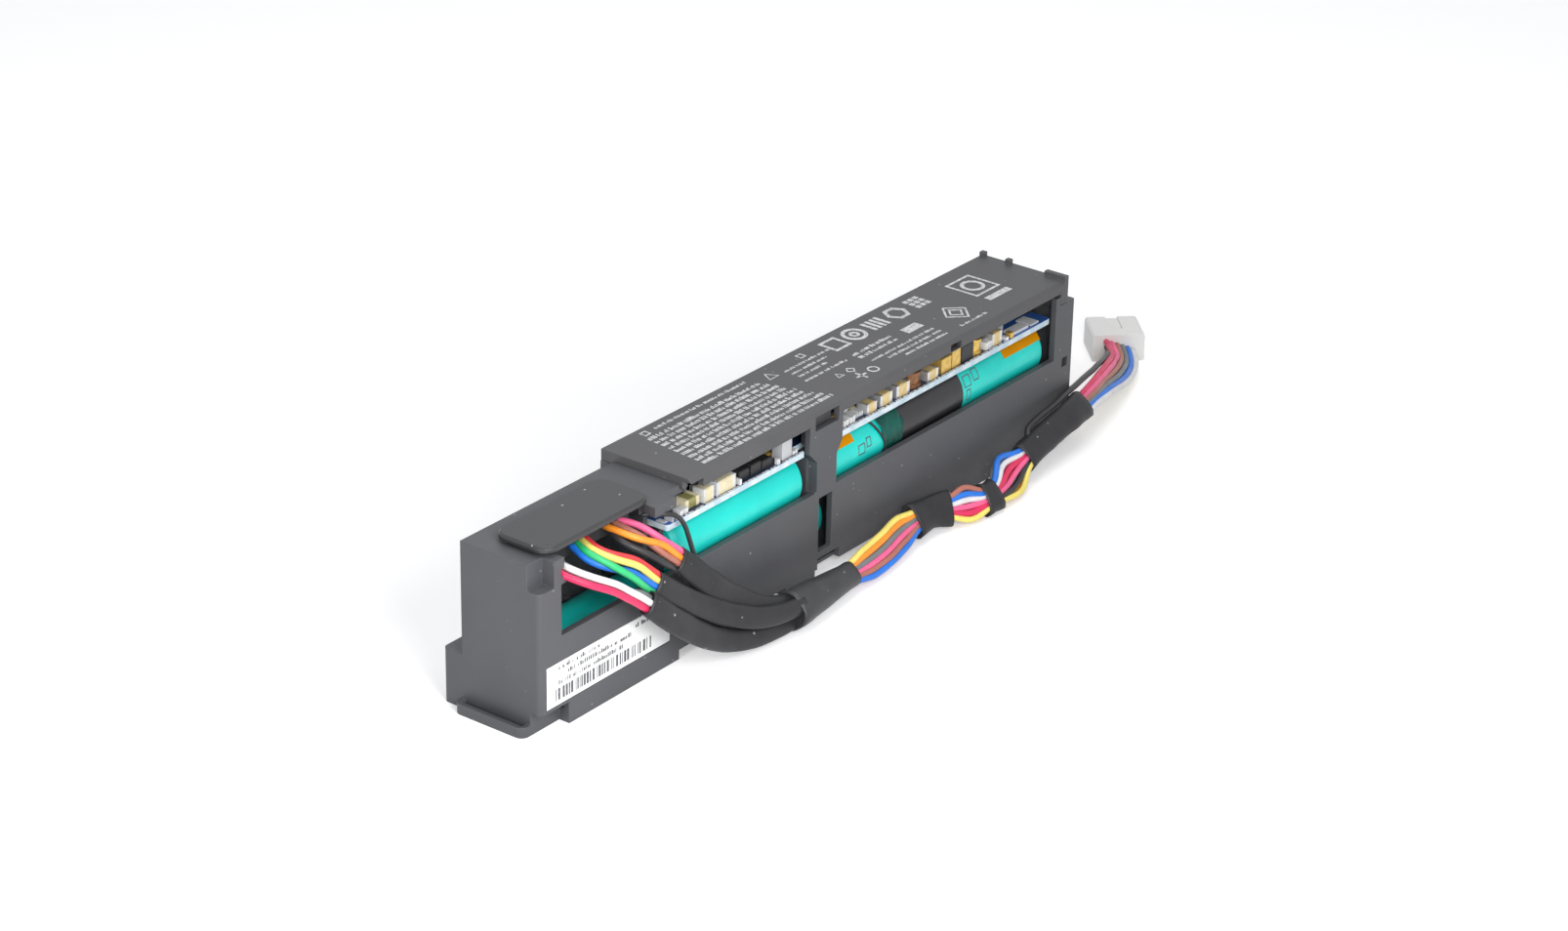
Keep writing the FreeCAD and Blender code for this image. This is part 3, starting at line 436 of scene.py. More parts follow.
# %% Routes of the three leads and the harness
LOWER_LEAD_POINTS = (
    (11.5, 7.2, 37.2), (11.5, 1.2, 37.2), (15.6, -5.0, 33.8), (23.6, -6.9, 27.0),
    (33.6, -8.2, 17.8), (43.6, -9.0, 9.8), (53.6, -9.8, 4.8), (64.6, -11.2, 3.0),
    (74.0, -11.2, 2.7),
)
MIDDLE_LEAD_POINTS = (
    (20.0, 7.2, 37.2), (20.0, 1.6, 37.2), (23.6, -4.0, 33.4), (31.6, -5.8, 26.0),
    (41.4, -6.8, 18.2), (52.4, -9.4, 11.3), (63.8, -12.6, 7.1), (74.0, -12.8, 6.7),
)
UPPER_LEAD_POINTS = (
    (30.5, 7.2, 37.2), (30.5, 2.0, 37.2), (35.4, -3.4, 33.4), (42.8, -5.0, 25.8),
    (50.2, -6.2, 18.2), (57.4, -7.2, 12.2), (63.8, -8.8, 8.6), (69.0, -9.6, 7.0),
    (74.0, -9.8, 6.6),
)
BOOT_POINTS = ((71.0, -11.2, 5.4), (84.0, -10.6, 4.9), (97.0, -9.4, 4.2))
HARNESS_POINTS = (
    (96.0, -9.4, 4.2), (108.0, -9.4, 4.2), (121.0, -6.4, 5.4), (134.0, -5.4, 5.2),
    (144.0, -10.0, 3.9), (155.0, -11.0, 3.7), (166.0, -7.6, 5.2), (178.0, -6.4, 7.6),
    (191.0, -6.0, 9.2), (204.5, -3.6, 9.2), (218.5, 0.4, 7.6), (230.6, 4.6, 5.0),
    (239.8, 8.9, 3.7), (245.4, 14.2, 3.7),
)
LEAD_OUTS = ((0, (0, 0, 1)), (6, (0, -0.2, 1)), (14, (0.1, -0.8, 0.6)), (24, (0, -1, 0.15)),
             (60, (0, -1, 0.3)), (85, (0, -0.8, 0.6)))
HARNESS_OUTS = ((0, (0, -0.8, 0.6)), (36, (-0.2, -0.85, 0.5)), (70, (-0.2, -0.8, 0.6)),
                (160, (-0.3, -0.6, 0.7)))
lower_line = Line(LOWER_LEAD_POINTS, LEAD_OUTS)
middle_line = Line(MIDDLE_LEAD_POINTS, LEAD_OUTS)
upper_line = Line(UPPER_LEAD_POINTS, LEAD_OUTS)
boot_line = Line(BOOT_POINTS, ((0, (0, -0.7, 0.7)), (30, (0, -0.7, 0.7))))
harness_line = Line(HARNESS_POINTS, HARNESS_OUTS)
for title, line in (("lower", lower_line), ("middle", middle_line), ("upper", upper_line),
                    ("harness", harness_line)):
    print(title, "line length", round(line.length, 1), "mm")

# %% [markdown]
# ## Shared effects
# Moulded plastic looks like plastic because of three small things: a fine grain that breaks up
# the gloss, edges that are never perfectly sharp, and dust. Each is a node group here, so every
# material can use it with its own strength. The groups give only masks, heights and normals.
# The shader itself stays in each material.

# %% Grain, dust and softened edges
MOTTLE_NOISE = (55.0, 4.0, 0.6)
EDGE_SAMPLES = 6
grain_group, grain_in, grain_out = new_group(
    "moulded_grain", [("Scale", 2400.0)],
    [("Height", "NodeSocketFloat"), ("Mottle", "NodeSocketFloat")])
grain_place = object_coordinates(grain_group)
mottle = add_noise(grain_place, *MOTTLE_NOISE)
feed(grain_out, Mottle=add_range(mottle, 0.32, 0.68),
     Height=add_noise(grain_place, grain_in.outputs["Scale"], 2.0, 0.6))

dust_group, dust_in, dust_out = new_group(
    "dust_specks", [("Scale", 330.0), ("Size", 0.10)], [("Mask", "NodeSocketFloat")])
cells = dust_group.nodes.new("ShaderNodeTexVoronoi")
feed(cells, Vector=object_coordinates(dust_group), Scale=dust_in.outputs["Scale"])
split = dust_group.nodes.new("ShaderNodeSeparateColor")
feed(split, Color=cells.outputs["Color"])
speck_size = add_math("MULTIPLY", split.outputs[0], dust_in.outputs["Size"])
speck = add_math("LESS_THAN", cells.outputs["Distance"], speck_size)
feed(dust_out, Mask=speck)

edge_group, edge_in, edge_out = new_group(
    "softened_edges", [("Radius", 0.0003)],
    [("Normal", "NodeSocketVector"), ("Mask", "NodeSocketFloat")])
rounded = edge_group.nodes.new("ShaderNodeBevel")
rounded.samples = EDGE_SAMPLES
feed(rounded, Radius=edge_in.outputs["Radius"])
flat = edge_group.nodes.new("ShaderNodeNewGeometry")
alike = edge_group.nodes.new("ShaderNodeVectorMath")
alike.operation = "DOT_PRODUCT"
give(alike.inputs[0], rounded.outputs["Normal"])
give(alike.inputs[1], flat.outputs["True Normal"])
# The mask marks the rounded edges. The finishes paint a paler colour there, which is a painted
# highlight, and on the plastics partly wear as well.
feed(edge_out, Normal=rounded.outputs["Normal"],
     Mask=add_range(alike.outputs["Value"], 0.99, 0.8))
print("effects", [group.name for group in bpy.data.node_groups])

# %% [markdown]
# ## Moulded plastic
# The housing, the lid and the cap are black plastic, but a photograph in bright light shows it
# as a middle grey, because the fine grain scatters light. So the base colour is a dark grey,
# mottled a little, paler where dust has settled, and paler on the edges, partly as wear and
# partly as a painted highlight. The lid and the cap differ from the housing only in tone,
# roughness and grain, so one function makes all of them.

# %% Moulded plastic finishes
GRAIN_DEPTH = 0.2
WEAR_AND_HIGHLIGHT_GAIN = 1.9
DUST_TINT = (0.55, 0.55, 0.54)


def moulded_plastic(name, tint, pale, roughness, grain=2400.0, bump=0.18, edge=0.35, dust=0.35):
    """Mottled plastic, paler on its edges, partly as wear and partly as a painted highlight, and
    where dust lies.
    """
    material, tree, shader = new_material(name)
    texture = use_group(tree, grain_group, Scale=grain)
    edges = use_group(tree, edge_group)
    specks = use_group(tree, dust_group)
    patches = texture.outputs["Mottle"]
    # Paler edges: partly wear, partly a painted highlight where the rounded edges catch the light.
    worn = tuple(min(1.0, WEAR_AND_HIGHLIGHT_GAIN * part) for part in pale)
    colour = add_mix(patches, tint, pale)
    colour = add_layer(edges.outputs["Mask"], edge, colour, worn)
    colour = add_layer(specks.outputs["Mask"], dust, colour, DUST_TINT)
    feed(shader, Base_Color=colour,
         Roughness=add_range(patches, 0, 1, roughness - 0.05, roughness + 0.06))
    add_bump(shader, texture.outputs["Height"], bump, GRAIN_DEPTH, edges.outputs["Normal"])
    return material


housing_plastic = moulded_plastic("housing_plastic", (0.060, 0.061, 0.068),
                                  (0.077, 0.078, 0.086), 0.5)
cover_plastic = moulded_plastic("cover_plastic", (0.064, 0.064, 0.068), (0.080, 0.079, 0.082),
                                0.55, grain=3000.0, bump=0.22)
cap_plastic = moulded_plastic("cap_plastic", (0.024, 0.024, 0.026), (0.032, 0.032, 0.034), 0.34,
                              grain=5000.0, bump=0.08, dust=0.6)
chip_plastic = moulded_plastic("chip_plastic", (0.012, 0.012, 0.013), (0.02, 0.02, 0.021), 0.5,
                               edge=0.15, dust=0.1)
spacer_plastic = moulded_plastic("spacer_plastic", (0.42, 0.43, 0.45), (0.52, 0.53, 0.55), 0.45,
                                 edge=0.3, dust=0.1)
plug_plastic = moulded_plastic("plug_plastic", (0.78, 0.78, 0.76), (0.84, 0.84, 0.82), 0.4,
                               edge=0.5, dust=0.1)
print("plastics", [m.name for m in bpy.data.materials if m.name.endswith("plastic")])

# %% [markdown]
# ## Films, sleeves and wire skins
# The cells wear a glossy teal shrink sleeve. It is printed film, so its colour is even, its
# gloss is high, and long shallow waves run along it. The same recipe, with other numbers, gives
# the black band, the amber film and the flat black sleeves of the leads.

# %% Shrink film
WAVE_NOISE = (45.0, 2.0, 0.45)
WAVE_DEPTH = 0.6
TONE_NOISE = (90.0, 3.0, 0.6)
COAT_ROUGHNESS = 0.18
FILM_DUST_TINT = (0.6, 0.6, 0.6)


def shrink_film(name, tint, deep, roughness, coat, wave=0.25, dust=0.0, stretch=6.0,
                specular=0.5):
    """Thin film with shallow waves that run along it."""
    material, tree, shader = new_material(name)
    place = object_coordinates(tree)
    squeeze = tree.nodes.new("ShaderNodeMapping")
    feed(squeeze, Vector=place, Scale=(1.0, stretch, stretch))
    waves = add_noise(squeeze.outputs["Vector"], *WAVE_NOISE)
    tone = add_noise(place, *TONE_NOISE)
    colour = add_mix(add_range(tone, 0.35, 0.65), tint, deep)
    if dust:
        specks = use_group(tree, dust_group, Scale=320.0, Size=0.11)
        colour = add_layer(specks.outputs["Mask"], dust, colour, FILM_DUST_TINT)
    feed(shader, Base_Color=colour, Specular_IOR_Level=specular, Coat_Weight=coat,
         Coat_Roughness=COAT_ROUGHNESS,
         Roughness=add_range(tone, 0.3, 0.7, roughness, roughness + 0.08))
    add_bump(shader, waves, wave, WAVE_DEPTH)
    return material


teal_sleeve = shrink_film("teal_sleeve", (0.012, 0.680, 0.600), (0.010, 0.620, 0.548), 0.30,
                          0.15, specular=0.3)
black_band = shrink_film("black_band", (0.012, 0.011, 0.013), (0.007, 0.007, 0.008), 0.34, 0.1)
amber_film = shrink_film("amber_film", (0.720, 0.290, 0.002), (0.600, 0.225, 0.002), 0.36,
                         0.0, specular=0.05)
crumpled_green = shrink_film("crumpled_green", (0.004, 0.090, 0.070), (0.003, 0.010, 0.009),
                             0.42, 0.0, wave=0.8, stretch=1.0, specular=0.25)
lead_skin = shrink_film("lead_skin", (0.024, 0.023, 0.026), (0.015, 0.015, 0.017), 0.46, 0.05,
                        wave=0.4, dust=0.45, stretch=2.0, specular=0.3)
wrap_skin = shrink_film("wrap_skin", (0.036, 0.036, 0.038), (0.024, 0.024, 0.026), 0.5, 0.05,
                        wave=0.7, dust=0.35, stretch=1.0, specular=0.4)
print("films", teal_sleeve.name, black_band.name, amber_film.name, lead_skin.name)

# %% [markdown]
# ## Wire insulation
# Each wire has its own colour, and the colour is what makes the harness lively. The skins are
# soft plastic with a low, wide highlight. A table of colours keeps the choice in one place, and
# the order of the table is the order of the material slots on every bundle.

# %% Wire colours
WIRE_TINTS = {
    "crimson": (0.72, 0.025, 0.110), "white": (0.80, 0.79, 0.80), "grey": (0.17, 0.18, 0.19),
    "green": (0.030, 0.530, 0.180), "blue": (0.015, 0.180, 0.720),
    "yellow": (0.900, 0.740, 0.170), "red": (0.780, 0.050, 0.060),
    "black": (0.020, 0.020, 0.022), "brown": (0.420, 0.150, 0.110),
    "orange": (0.930, 0.300, 0.025), "pink": (0.880, 0.130, 0.300),
}


SKIN_NOISE = (260.0, 3.0, 0.6)
SKIN_GAIN, SKIN_LIFT = 0.82, 0.012
SKIN_BUMP, SKIN_DEPTH = 0.12, 0.2


def wire_skin(colour_name):
    """Soft plastic in one colour of the table, a little duller in patches."""
    material, tree, shader = new_material("wire_" + colour_name)
    tint = WIRE_TINTS[colour_name]
    tone = add_noise(object_coordinates(tree), *SKIN_NOISE)
    dull = tuple(SKIN_GAIN * part + SKIN_LIFT for part in tint)
    colour = add_mix(add_range(tone, 0.35, 0.7), tint, dull)
    feed(shader, Base_Color=colour, Specular_IOR_Level=0.4,
         Roughness=add_range(tone, 0.3, 0.7, 0.34, 0.48))
    add_bump(shader, tone, SKIN_BUMP, SKIN_DEPTH)
    return material


wire_materials = [wire_skin(colour_name) for colour_name in WIRE_TINTS]
wire_slots = {colour_name: i for i, colour_name in enumerate(WIRE_TINTS)}
print("wire skins", len(wire_materials))

# %% [markdown]
# ## Bundles of wires
# A bundle is a set of strands that keep their order for a while and then change places inside
# a sleeve. So each bundle has stations: a distance along the line, and for each strand a place
# across the bundle and out of it. Between two stations a strand glides with an eased step.
# One curve object holds all strands, and its round bevel makes them wires.

# %% Strands along a line
WANDER_LENGTH = 9.0
CALM_ENDS = 8.0
STRAND_STEP = 2.2
STRAND_SEED, OUT_SEED = 3.7, 40.0


def eased(share):
    """A share of the way that starts and ends gently."""
    return share * share * (3 - 2 * share)


def strand_place(stations, key, distance):
    """Where a strand runs beside the line, eased between two stations."""
    if distance <= stations[0][0]:
        return stations[0][1][key]
    for (d0, places0), (d1, places1) in zip(stations, stations[1:]):
        if distance <= d1:
            share = eased((distance - d0) / (d1 - d0))
            (a0, o0), (a1, o1) = places0[key], places1[key]
            return a0 + (a1 - a0) * share, o0 + (o1 - o0) * share
    return stations[-1][1][key]


def wire_curve(name, radius, smoothness, roundness):
    """An empty curve that draws its lines as round wires."""
    curve = bpy.data.curves.new(name + "_curve", "CURVE")
    curve.dimensions = "3D"
    curve.resolution_u = smoothness
    curve.bevel_depth = mm(radius)
    curve.bevel_resolution = roundness
    curve.use_fill_caps = True
    return curve


def wire_piece(name, curve, materials):
    """Turns the wires of a curve into a closed piece."""
    mesh = drawn(curve)
    bm = bmesh.new()
    bm.from_mesh(mesh)
    bpy.data.meshes.remove(mesh)
    bmesh.ops.remove_doubles(bm, verts=bm.verts, dist=mm(MERGE))
    return make_piece(name, bm, materials, "harness_wire", smooth=True)


def lay_bundle(name, line, stations, radius, wander=0.16):
    """All strands of a bundle as one piece; away from its ends each strand wanders a little."""
    curve = wire_curve(name, radius, 2, 2)
    for material in wire_materials:
        curve.materials.append(material)
    count = int(line.length / STRAND_STEP)
    for number, key in enumerate(stations[0][1]):
        places = []
        for i in range(count + 1):
            distance = line.length * i / count
            across, over = strand_place(stations, key, distance)
            shake = wander * min(1.0, min(distance, line.length - distance) / CALM_ENDS)
            drift = Vector((distance / WANDER_LENGTH, STRAND_SEED * number, 0))
            across += shake * noise.noise(drift)
            drift.z = OUT_SEED
            over += shake * noise.noise(drift)
            places.append(line.place(distance, across, over))
        add_spline(curve, places).material_index = wire_slots[key]
    return wire_piece(name, curve, wire_materials)


def flat_places(order, pitch, over):
    """Places for strands side by side, the first one uppermost."""
    middle = 0.5 * (len(order) - 1)
    return {key: ((i - middle) * pitch, over) for i, key in enumerate(order)}


print("bundle helpers", lay_bundle.__name__, flat_places.__name__)

# %% [markdown]
# ## Flat sleeves
# Each lead is slipped into a flat black sleeve. It starts as a ring of points, and the ring is
# extruded along the line, step by step. Each new ring is fitted to the line's across and
# out directions, and the first and last rings are turned inwards, so the sleeve has a lip.
# How wide and thick it is at each place is said by a small function of the share of its length.

# %% A flat sleeve along a line
SQUARING = 0.8
RING_STEP = 1.6
LIP_DEPTH = 0.5
LIP_EDGE, LIP_INSIDE = 0.92, 0.78
FOLD_LENGTH, FOLD_TURN = 5.0, 2.2


def in_order_of(ring, places):
    """The points of a new ring, in the order of the ring that it was extruded from."""
    left = list(ring)
    ordered = []
    for place in places:
        found = min(left, key=lambda vert: (vert.co - place).length)
        left.remove(found)
        ordered.append(found)
    return ordered


def squared(value):
    """Fills out a round section a little, towards a flat one."""
    return math.copysign(abs(value) ** SQUARING, value)


def flat_sleeve(name, line, start, end, half_width, half_thick, seed, crease=0.06, sides=20,
                material=lead_skin, slot="lead_sleeve"):
    """A flat tube from one distance along the line to another."""
    bm = bmesh.new()
    ring = bmesh.ops.create_circle(bm, cap_ends=False, radius=1, segments=sides)["verts"]
    turns = [math.atan2(vert.co.y, vert.co.x) for vert in ring]
    count = max(4, int((end - start) / RING_STEP))
    rings = [(start + LIP_DEPTH, LIP_INSIDE), (start, LIP_EDGE)]
    rings += [(start + (end - start) * i / count, 1.0) for i in range(count + 1)]
    rings += [(end, LIP_EDGE), (end - LIP_DEPTH, LIP_INSIDE)]
    for number, (distance, size) in enumerate(rings):
        if number:
            edges = [edge for edge in bm.edges if edge.verts[0] in ring and edge.verts[1] in ring]
            places = [vert.co.copy() for vert in ring]
            made = bmesh.ops.extrude_edge_only(bm, edges=edges)["geom"]
            made = [item for item in made if isinstance(item, bmesh.types.BMVert)]
            ring = in_order_of(made, places)
        share = (distance - start) / (end - start)
        for vert, turn in zip(ring, turns):
            crumple = Vector((distance / FOLD_LENGTH, FOLD_TURN * math.cos(turn),
                              FOLD_TURN * math.sin(turn) + seed))
            fold = (1 + crease * noise.noise(crumple)) * size
            vert.co = line.place(distance, half_width(share) * squared(math.cos(turn)) * fold,
                                 half_thick(share) * squared(math.sin(turn)) * fold)
    bmesh.ops.holes_fill(bm, edges=bm.edges, sides=0)
    return make_piece(name, bm, [material], slot, smooth=True)


def swelling(size, swell=0.0, growth=0.0):
    """A half size that swells in the middle and grows towards the end."""
    return lambda share: size + swell * math.sin(math.pi * share) + growth * share


def waisted(size, waist):
    """A half size that is large at both ends and small in the middle."""
    return lambda share: size + waist * math.cos(math.tau * share)


def narrowing(size, loss):
    """A half size that eases down along the sleeve."""
    return lambda share: size - loss * eased(share)


print("sleeve helpers", flat_sleeve.__name__, swelling.__name__, waisted.__name__)

# %% [markdown]
# ## The three leads
# Under the cap the wires fan out, and further down each group slips into its sleeve. The
# stations say it: wide and loose at the cap's edge, close together at the sleeve's mouth.

# %% Lower, middle and upper lead
def stations_of(colours, rows):
    """Stations from a table: a distance, then each colour's place across and out."""
    return [(distance, dict(zip(colours, places))) for distance, *places in rows]


lower_stations = stations_of(("crimson", "white", "grey"), (
    (0, (2.4, -0.6), (0.8, -0.4), (-0.8, -0.6)),
    (6, (4.2, -0.8), (2.6, 0.2), (1.0, -1.0)),
    (19, (1.7, -0.2), (0.2, 0.4), (1.0, -1.2)),
    (26, (1.4, 0.1), (-0.2, 0.5), (-1.3, -0.4)),
    (36, (0.9, -0.3), (0.0, 0.6), (-0.9, -0.3)),
))
middle_stations = stations_of(("blue", "green", "yellow", "red"), (
    (0, (2.6, 0.2), (1.0, 0.2), (-0.6, 0.4), (-2.0, 0.2)),
    (6, (4.3, -0.6), (4.0, 0.8), (2.2, 0.8), (0.2, 0.2)),
    (16, (0.4, -0.4), (2.4, 0.6), (-0.8, 1.0), (-2.3, 0.3)),
    (22, (0.7, 0.3), (2.0, 0.0), (-0.7, 0.5), (-2.0, 0.1)),
    (30, (0.8, 0.5), (0.8, -0.5), (-0.8, 0.5), (-0.8, -0.5)),
))
upper_stations = stations_of(("orange", "black", "brown", "pink"), (
    (0, (2.2, 0.4), (0.8, -0.4), (-0.8, 0.2), (-2.2, 0.2)),
    (6, (2.6, 0.8), (4.2, -0.6), (-0.8, -0.4), (-3.2, 0.2)),
    (14, (0.0, 0.9), (3.6, 0.0), (1.4, 0.2), (-1.6, 0.3)),
    (20, (-0.4, 0.4), (2.2, -0.2), (0.9, 0.3), (-1.9, 0.2)),
    (28, (-0.8, 0.5), (0.8, -0.5), (0.8, 0.5), (-0.8, -0.5)),
))
LEAD_WIRE_RADIUS = 0.8
lower_wires = lay_bundle("lower_lead_wires", lower_line, lower_stations, LEAD_WIRE_RADIUS)
middle_wires = lay_bundle("middle_lead_wires", middle_line, middle_stations, LEAD_WIRE_RADIUS)
upper_wires = lay_bundle("upper_lead_wires", upper_line, upper_stations, LEAD_WIRE_RADIUS)
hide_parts("lead_lower")
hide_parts("lead_middle")
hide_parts("lead_upper")

# %% [markdown]
# ## Sleeves of the leads
# A lead's sleeve is wide where it lies on its neighbours and narrows towards the wrap, where it
# grows a little thicker. Its sizes are half widths and half thicknesses along its length.

# %% Their sleeves
lead_width = swelling(2.85, 0.35, -0.8)
upper_width = swelling(2.85, 0.9, -0.8)
lead_thickness = swelling(1.6, growth=0.25)
lower_sleeve = flat_sleeve("lower_lead_sleeve", lower_line, 28, lower_line.length, lead_width,
                           lead_thickness, seed=1.0)
middle_sleeve = flat_sleeve("middle_lead_sleeve", middle_line, 22.5, middle_line.length,
                            lead_width, lead_thickness, seed=5.0)
upper_sleeve = flat_sleeve("upper_lead_sleeve", upper_line, 19.5, upper_line.length,
                           upper_width, lead_thickness, seed=9.0)

# %% [markdown]
# ## The wrapped boot
# Where the three leads join, tape is wound round them. The wrap is wide at the leads and round
# at the harness, so it is a sleeve too, with a width that shrinks along its length.

# %% Boot
BOOT_START = 0.6
BOOT_END = boot_line.length - 0.4
boot = flat_sleeve("boot_wrap", boot_line, BOOT_START, BOOT_END, narrowing(4.5, 1.5),
                   narrowing(4.0, 1.3), seed=3.0, crease=0.05, sides=28, material=wrap_skin,
                   slot="wrap_tape")
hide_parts("lead_boot")

# %% [markdown]
# ## The harness
# Beyond the boot all the wires run on together. Short black sleeves hold them at three places,
# and between the sleeves they spread into bright ribbons. At each ribbon the photograph
# shows another order of colours, so each ribbon is a station with its own order, and the
# strands change places inside the sleeves, where nobody sees it.

# %% Harness wires
SLEEVE_ENDS = ((126.0, 138.5), (148.0, 153.4), (170.0, 199.0))
sleeve_places = [[harness_line.nearest(x) for x in ends] for ends in SLEEVE_ENDS]
HARNESS_WIRE_RADIUS = 0.76
HALF_LAYER = 0.7
OUTSIDE = -4.6


def ribbon(front, rear, pitch, lift=0.0):
    """Two layers of wires side by side; the lift moves both towards the top of the bundle."""
    places = flat_places(front.split(), pitch, HALF_LAYER)
    places.update(flat_places(rear.split(), pitch, -HALF_LAYER))
    return {key: (across - lift, over) for key, (across, over) in places.items()}


# The front layer and the rear layer of each ribbon
first_order = "yellow orange grey pink brown blue", "white black red green crimson"
second_order = "brown blue white pink crimson yellow", "black grey red green orange"
third_order = "blue white crimson pink black yellow", "grey brown red green orange"
last_order = "crimson pink brown grey blue white", "black red orange green yellow"


def beside_sleeve(places):
    """The same places, with the black wire outside the sleeve."""
    return {**places, "black": (OUTSIDE, 0.0)}


(first_start, first_end), (short_start, short_end), (long_start, long_end) = sleeve_places
harness_stations = [
    (0, ribbon(*first_order, 0.80)),
    (8, ribbon(*first_order, 1.30)),
    (first_start - 7, ribbon(*first_order, 1.35)),
    (first_start + 1, ribbon(*first_order, 0.85)),
    (first_end - 1, ribbon(*second_order, 0.85)),
    (0.5 * (first_end + short_start), ribbon(*second_order, 1.6, lift=0.4)),
    (short_start + 1, ribbon(*second_order, 0.85)),
    (short_end - 1, ribbon(*third_order, 0.85)),
    (0.5 * (short_end + long_start), ribbon(*third_order, 1.9, lift=0.6)),
    (long_start + 1, ribbon(*third_order, 0.80)),
    (long_start + 8, beside_sleeve(ribbon(*third_order, 0.70))),
    (long_end - 1, beside_sleeve(ribbon(*last_order, 0.85))),
    (harness_line.length - 14, beside_sleeve(ribbon(*last_order, 1.45))),
    (harness_line.length, ribbon(*last_order, 1.50)),
]
harness_wires = lay_bundle("harness_wires", harness_line, harness_stations,
                           HARNESS_WIRE_RADIUS, wander=0.22)
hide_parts("harness_lead")

# %% [markdown]
# ## Sleeves of the harness
# Two short sleeves hold the bundle in front of the housing, and a long one takes it past the
# right-hand foot. They are flat tubes like those of the leads, and the short ones flare a
# little at their mouths.

# %% Harness sleeves
sleeve_sizes = [(waisted(4.1, 0.3), 12.0, 0.06), (waisted(3.9, 0.2), 15.0, 0.06),
                (swelling(3.75, -0.3), 18.0, 0.10)]
for number, (half_width, seed, crease) in enumerate(sleeve_sizes):
    flat_sleeve(f"harness_sleeve_{number + 1}", harness_line, *sleeve_places[number],
                    half_width, swelling(1.95), seed=seed, crease=crease)
print("harness sleeves", [round(end - start, 1) for start, end in sleeve_places], "mm")

# %% [markdown]
# ## Small materials of the board
# The board's mask is blue, but its cut edge shows the pale glass fibre, and a face that looks
# sideways is such an edge. So the mask's colour is mixed by the height of the surface
# normal. Along the middle, under the lid, the mask is painted a dark navy as painted shade,
# and its own blue shows only at both ends. The parts on the board are ceramic, plated metal
# and solder, each with a fine mottle and a painted highlight on its edges.

# %% Board and part finishes
EDGE_RADIUS = 0.12
PART_HIGHLIGHT_SHARE = 0.3
MOTTLE_DEPTH = 0.1
PART_HIGHLIGHT_GAIN, PART_HIGHLIGHT_LIFT = 1.5, 0.05


def small_part(name, tint, deep, roughness, metallic=0.0, scale=900.0, bump=0.15):
    """Ceramic, metal, resin or paper with a fine mottle and a painted highlight on its edges."""
    material, tree, shader = new_material(name)
    tone = add_noise(object_coordinates(tree), scale, 3.0, 0.65)
    edges = use_group(tree, edge_group, Radius=mm(EDGE_RADIUS))
    # Painted highlight: a lighter copy of the tint along the rounded edges.
    bright = tuple(min(1.0, PART_HIGHLIGHT_GAIN * part + PART_HIGHLIGHT_LIFT) for part in tint)
    colour = add_mix(add_range(tone, 0.35, 0.65), tint, deep)
    colour = add_layer(edges.outputs["Mask"], PART_HIGHLIGHT_SHARE, colour, bright)
    feed(shader, Base_Color=colour, Metallic=metallic,
         Roughness=add_range(tone, 0.3, 0.7, roughness, roughness + 0.12))
    add_bump(shader, tone, bump, MOTTLE_DEPTH, edges.outputs["Normal"])
    return material


# Where the painted shade along the board's middle fades out, near each end
LEFT_SHADE_FADE, RIGHT_SHADE_FADE = (47, 50), (171, 175)
BOARD_NOISE = (300.0, 4.0, 0.6)
board_mask, board_tree, board_shader = new_material("board_mask")


def parts_of(vector):
    """The three numbers of a vector."""
    node = vector.id_data.nodes.new("ShaderNodeSeparateXYZ")
    feed(node, Vector=vector)
    return node.outputs


board_face = board_tree.nodes.new("ShaderNodeNewGeometry").outputs["True Normal"]
steepness = add_math("ABSOLUTE", parts_of(board_face)["Z"], 0)
level = add_range(steepness, 0.4, 0.6)
board_tone = add_noise(object_coordinates(board_tree), *BOARD_NOISE)
along_board = parts_of(object_coordinates(board_tree))["X"]
left_start, left_end, right_start, right_end = (at(x, 0, 0).x for x in LEFT_SHADE_FADE + RIGHT_SHADE_FADE)
near_left = add_range(along_board, left_start, left_end, 1, 0)
near_right = add_range(along_board, right_start, right_end)
unshaded_end = add_math("MAXIMUM", near_left, near_right)
# Painted shade: the mask is a dark navy along the middle, under the lid, and its own bright blue
# only at both ends.
shaded_mask_colour = add_mix(add_range(board_tone, 0.35, 0.65),
                      (0.006, 0.016, 0.050), (0.014, 0.034, 0.085))
shaded_mask_colour = add_mix(unshaded_end, shaded_mask_colour, (0.030, 0.110, 0.380))
fibre_colour = add_mix(add_range(board_tone, 0.4, 0.62),
                       (0.460, 0.600, 0.690), (0.700, 0.780, 0.820))
feed(board_shader, Base_Color=add_mix(level, fibre_colour, shaded_mask_colour),
     Roughness=add_range(board_tone, 0.3, 0.7, 0.3, 0.45))

nickel = small_part("nickel", (0.62, 0.60, 0.56), (0.50, 0.48, 0.45), 0.28, metallic=1.0)
ivory = small_part("ivory_body", (0.76, 0.70, 0.50), (0.68, 0.60, 0.38), 0.45)
olive = small_part("olive_body", (0.24, 0.22, 0.07), (0.32, 0.30, 0.12), 0.4)
beige = small_part("beige_body", (0.78, 0.63, 0.33), (0.66, 0.48, 0.20), 0.45)
coil_wire = small_part("coil_wire", (0.34, 0.13, 0.03), (0.10, 0.05, 0.03), 0.35,
                       scale=1500.0)
gold = small_part("gold_plate", (0.80, 0.56, 0.16), (0.60, 0.38, 0.08), 0.3, metallic=0.6)
grey_white = small_part("grey_white", (0.70, 0.71, 0.72), (0.55, 0.55, 0.54), 0.4)
solder = small_part("solder", (0.90, 0.90, 0.90), (0.78, 0.79, 0.80), 0.3, metallic=0.2)
tin = small_part("tin_end", (0.78, 0.78, 0.77), (0.62, 0.62, 0.62), 0.3, metallic=0.7)
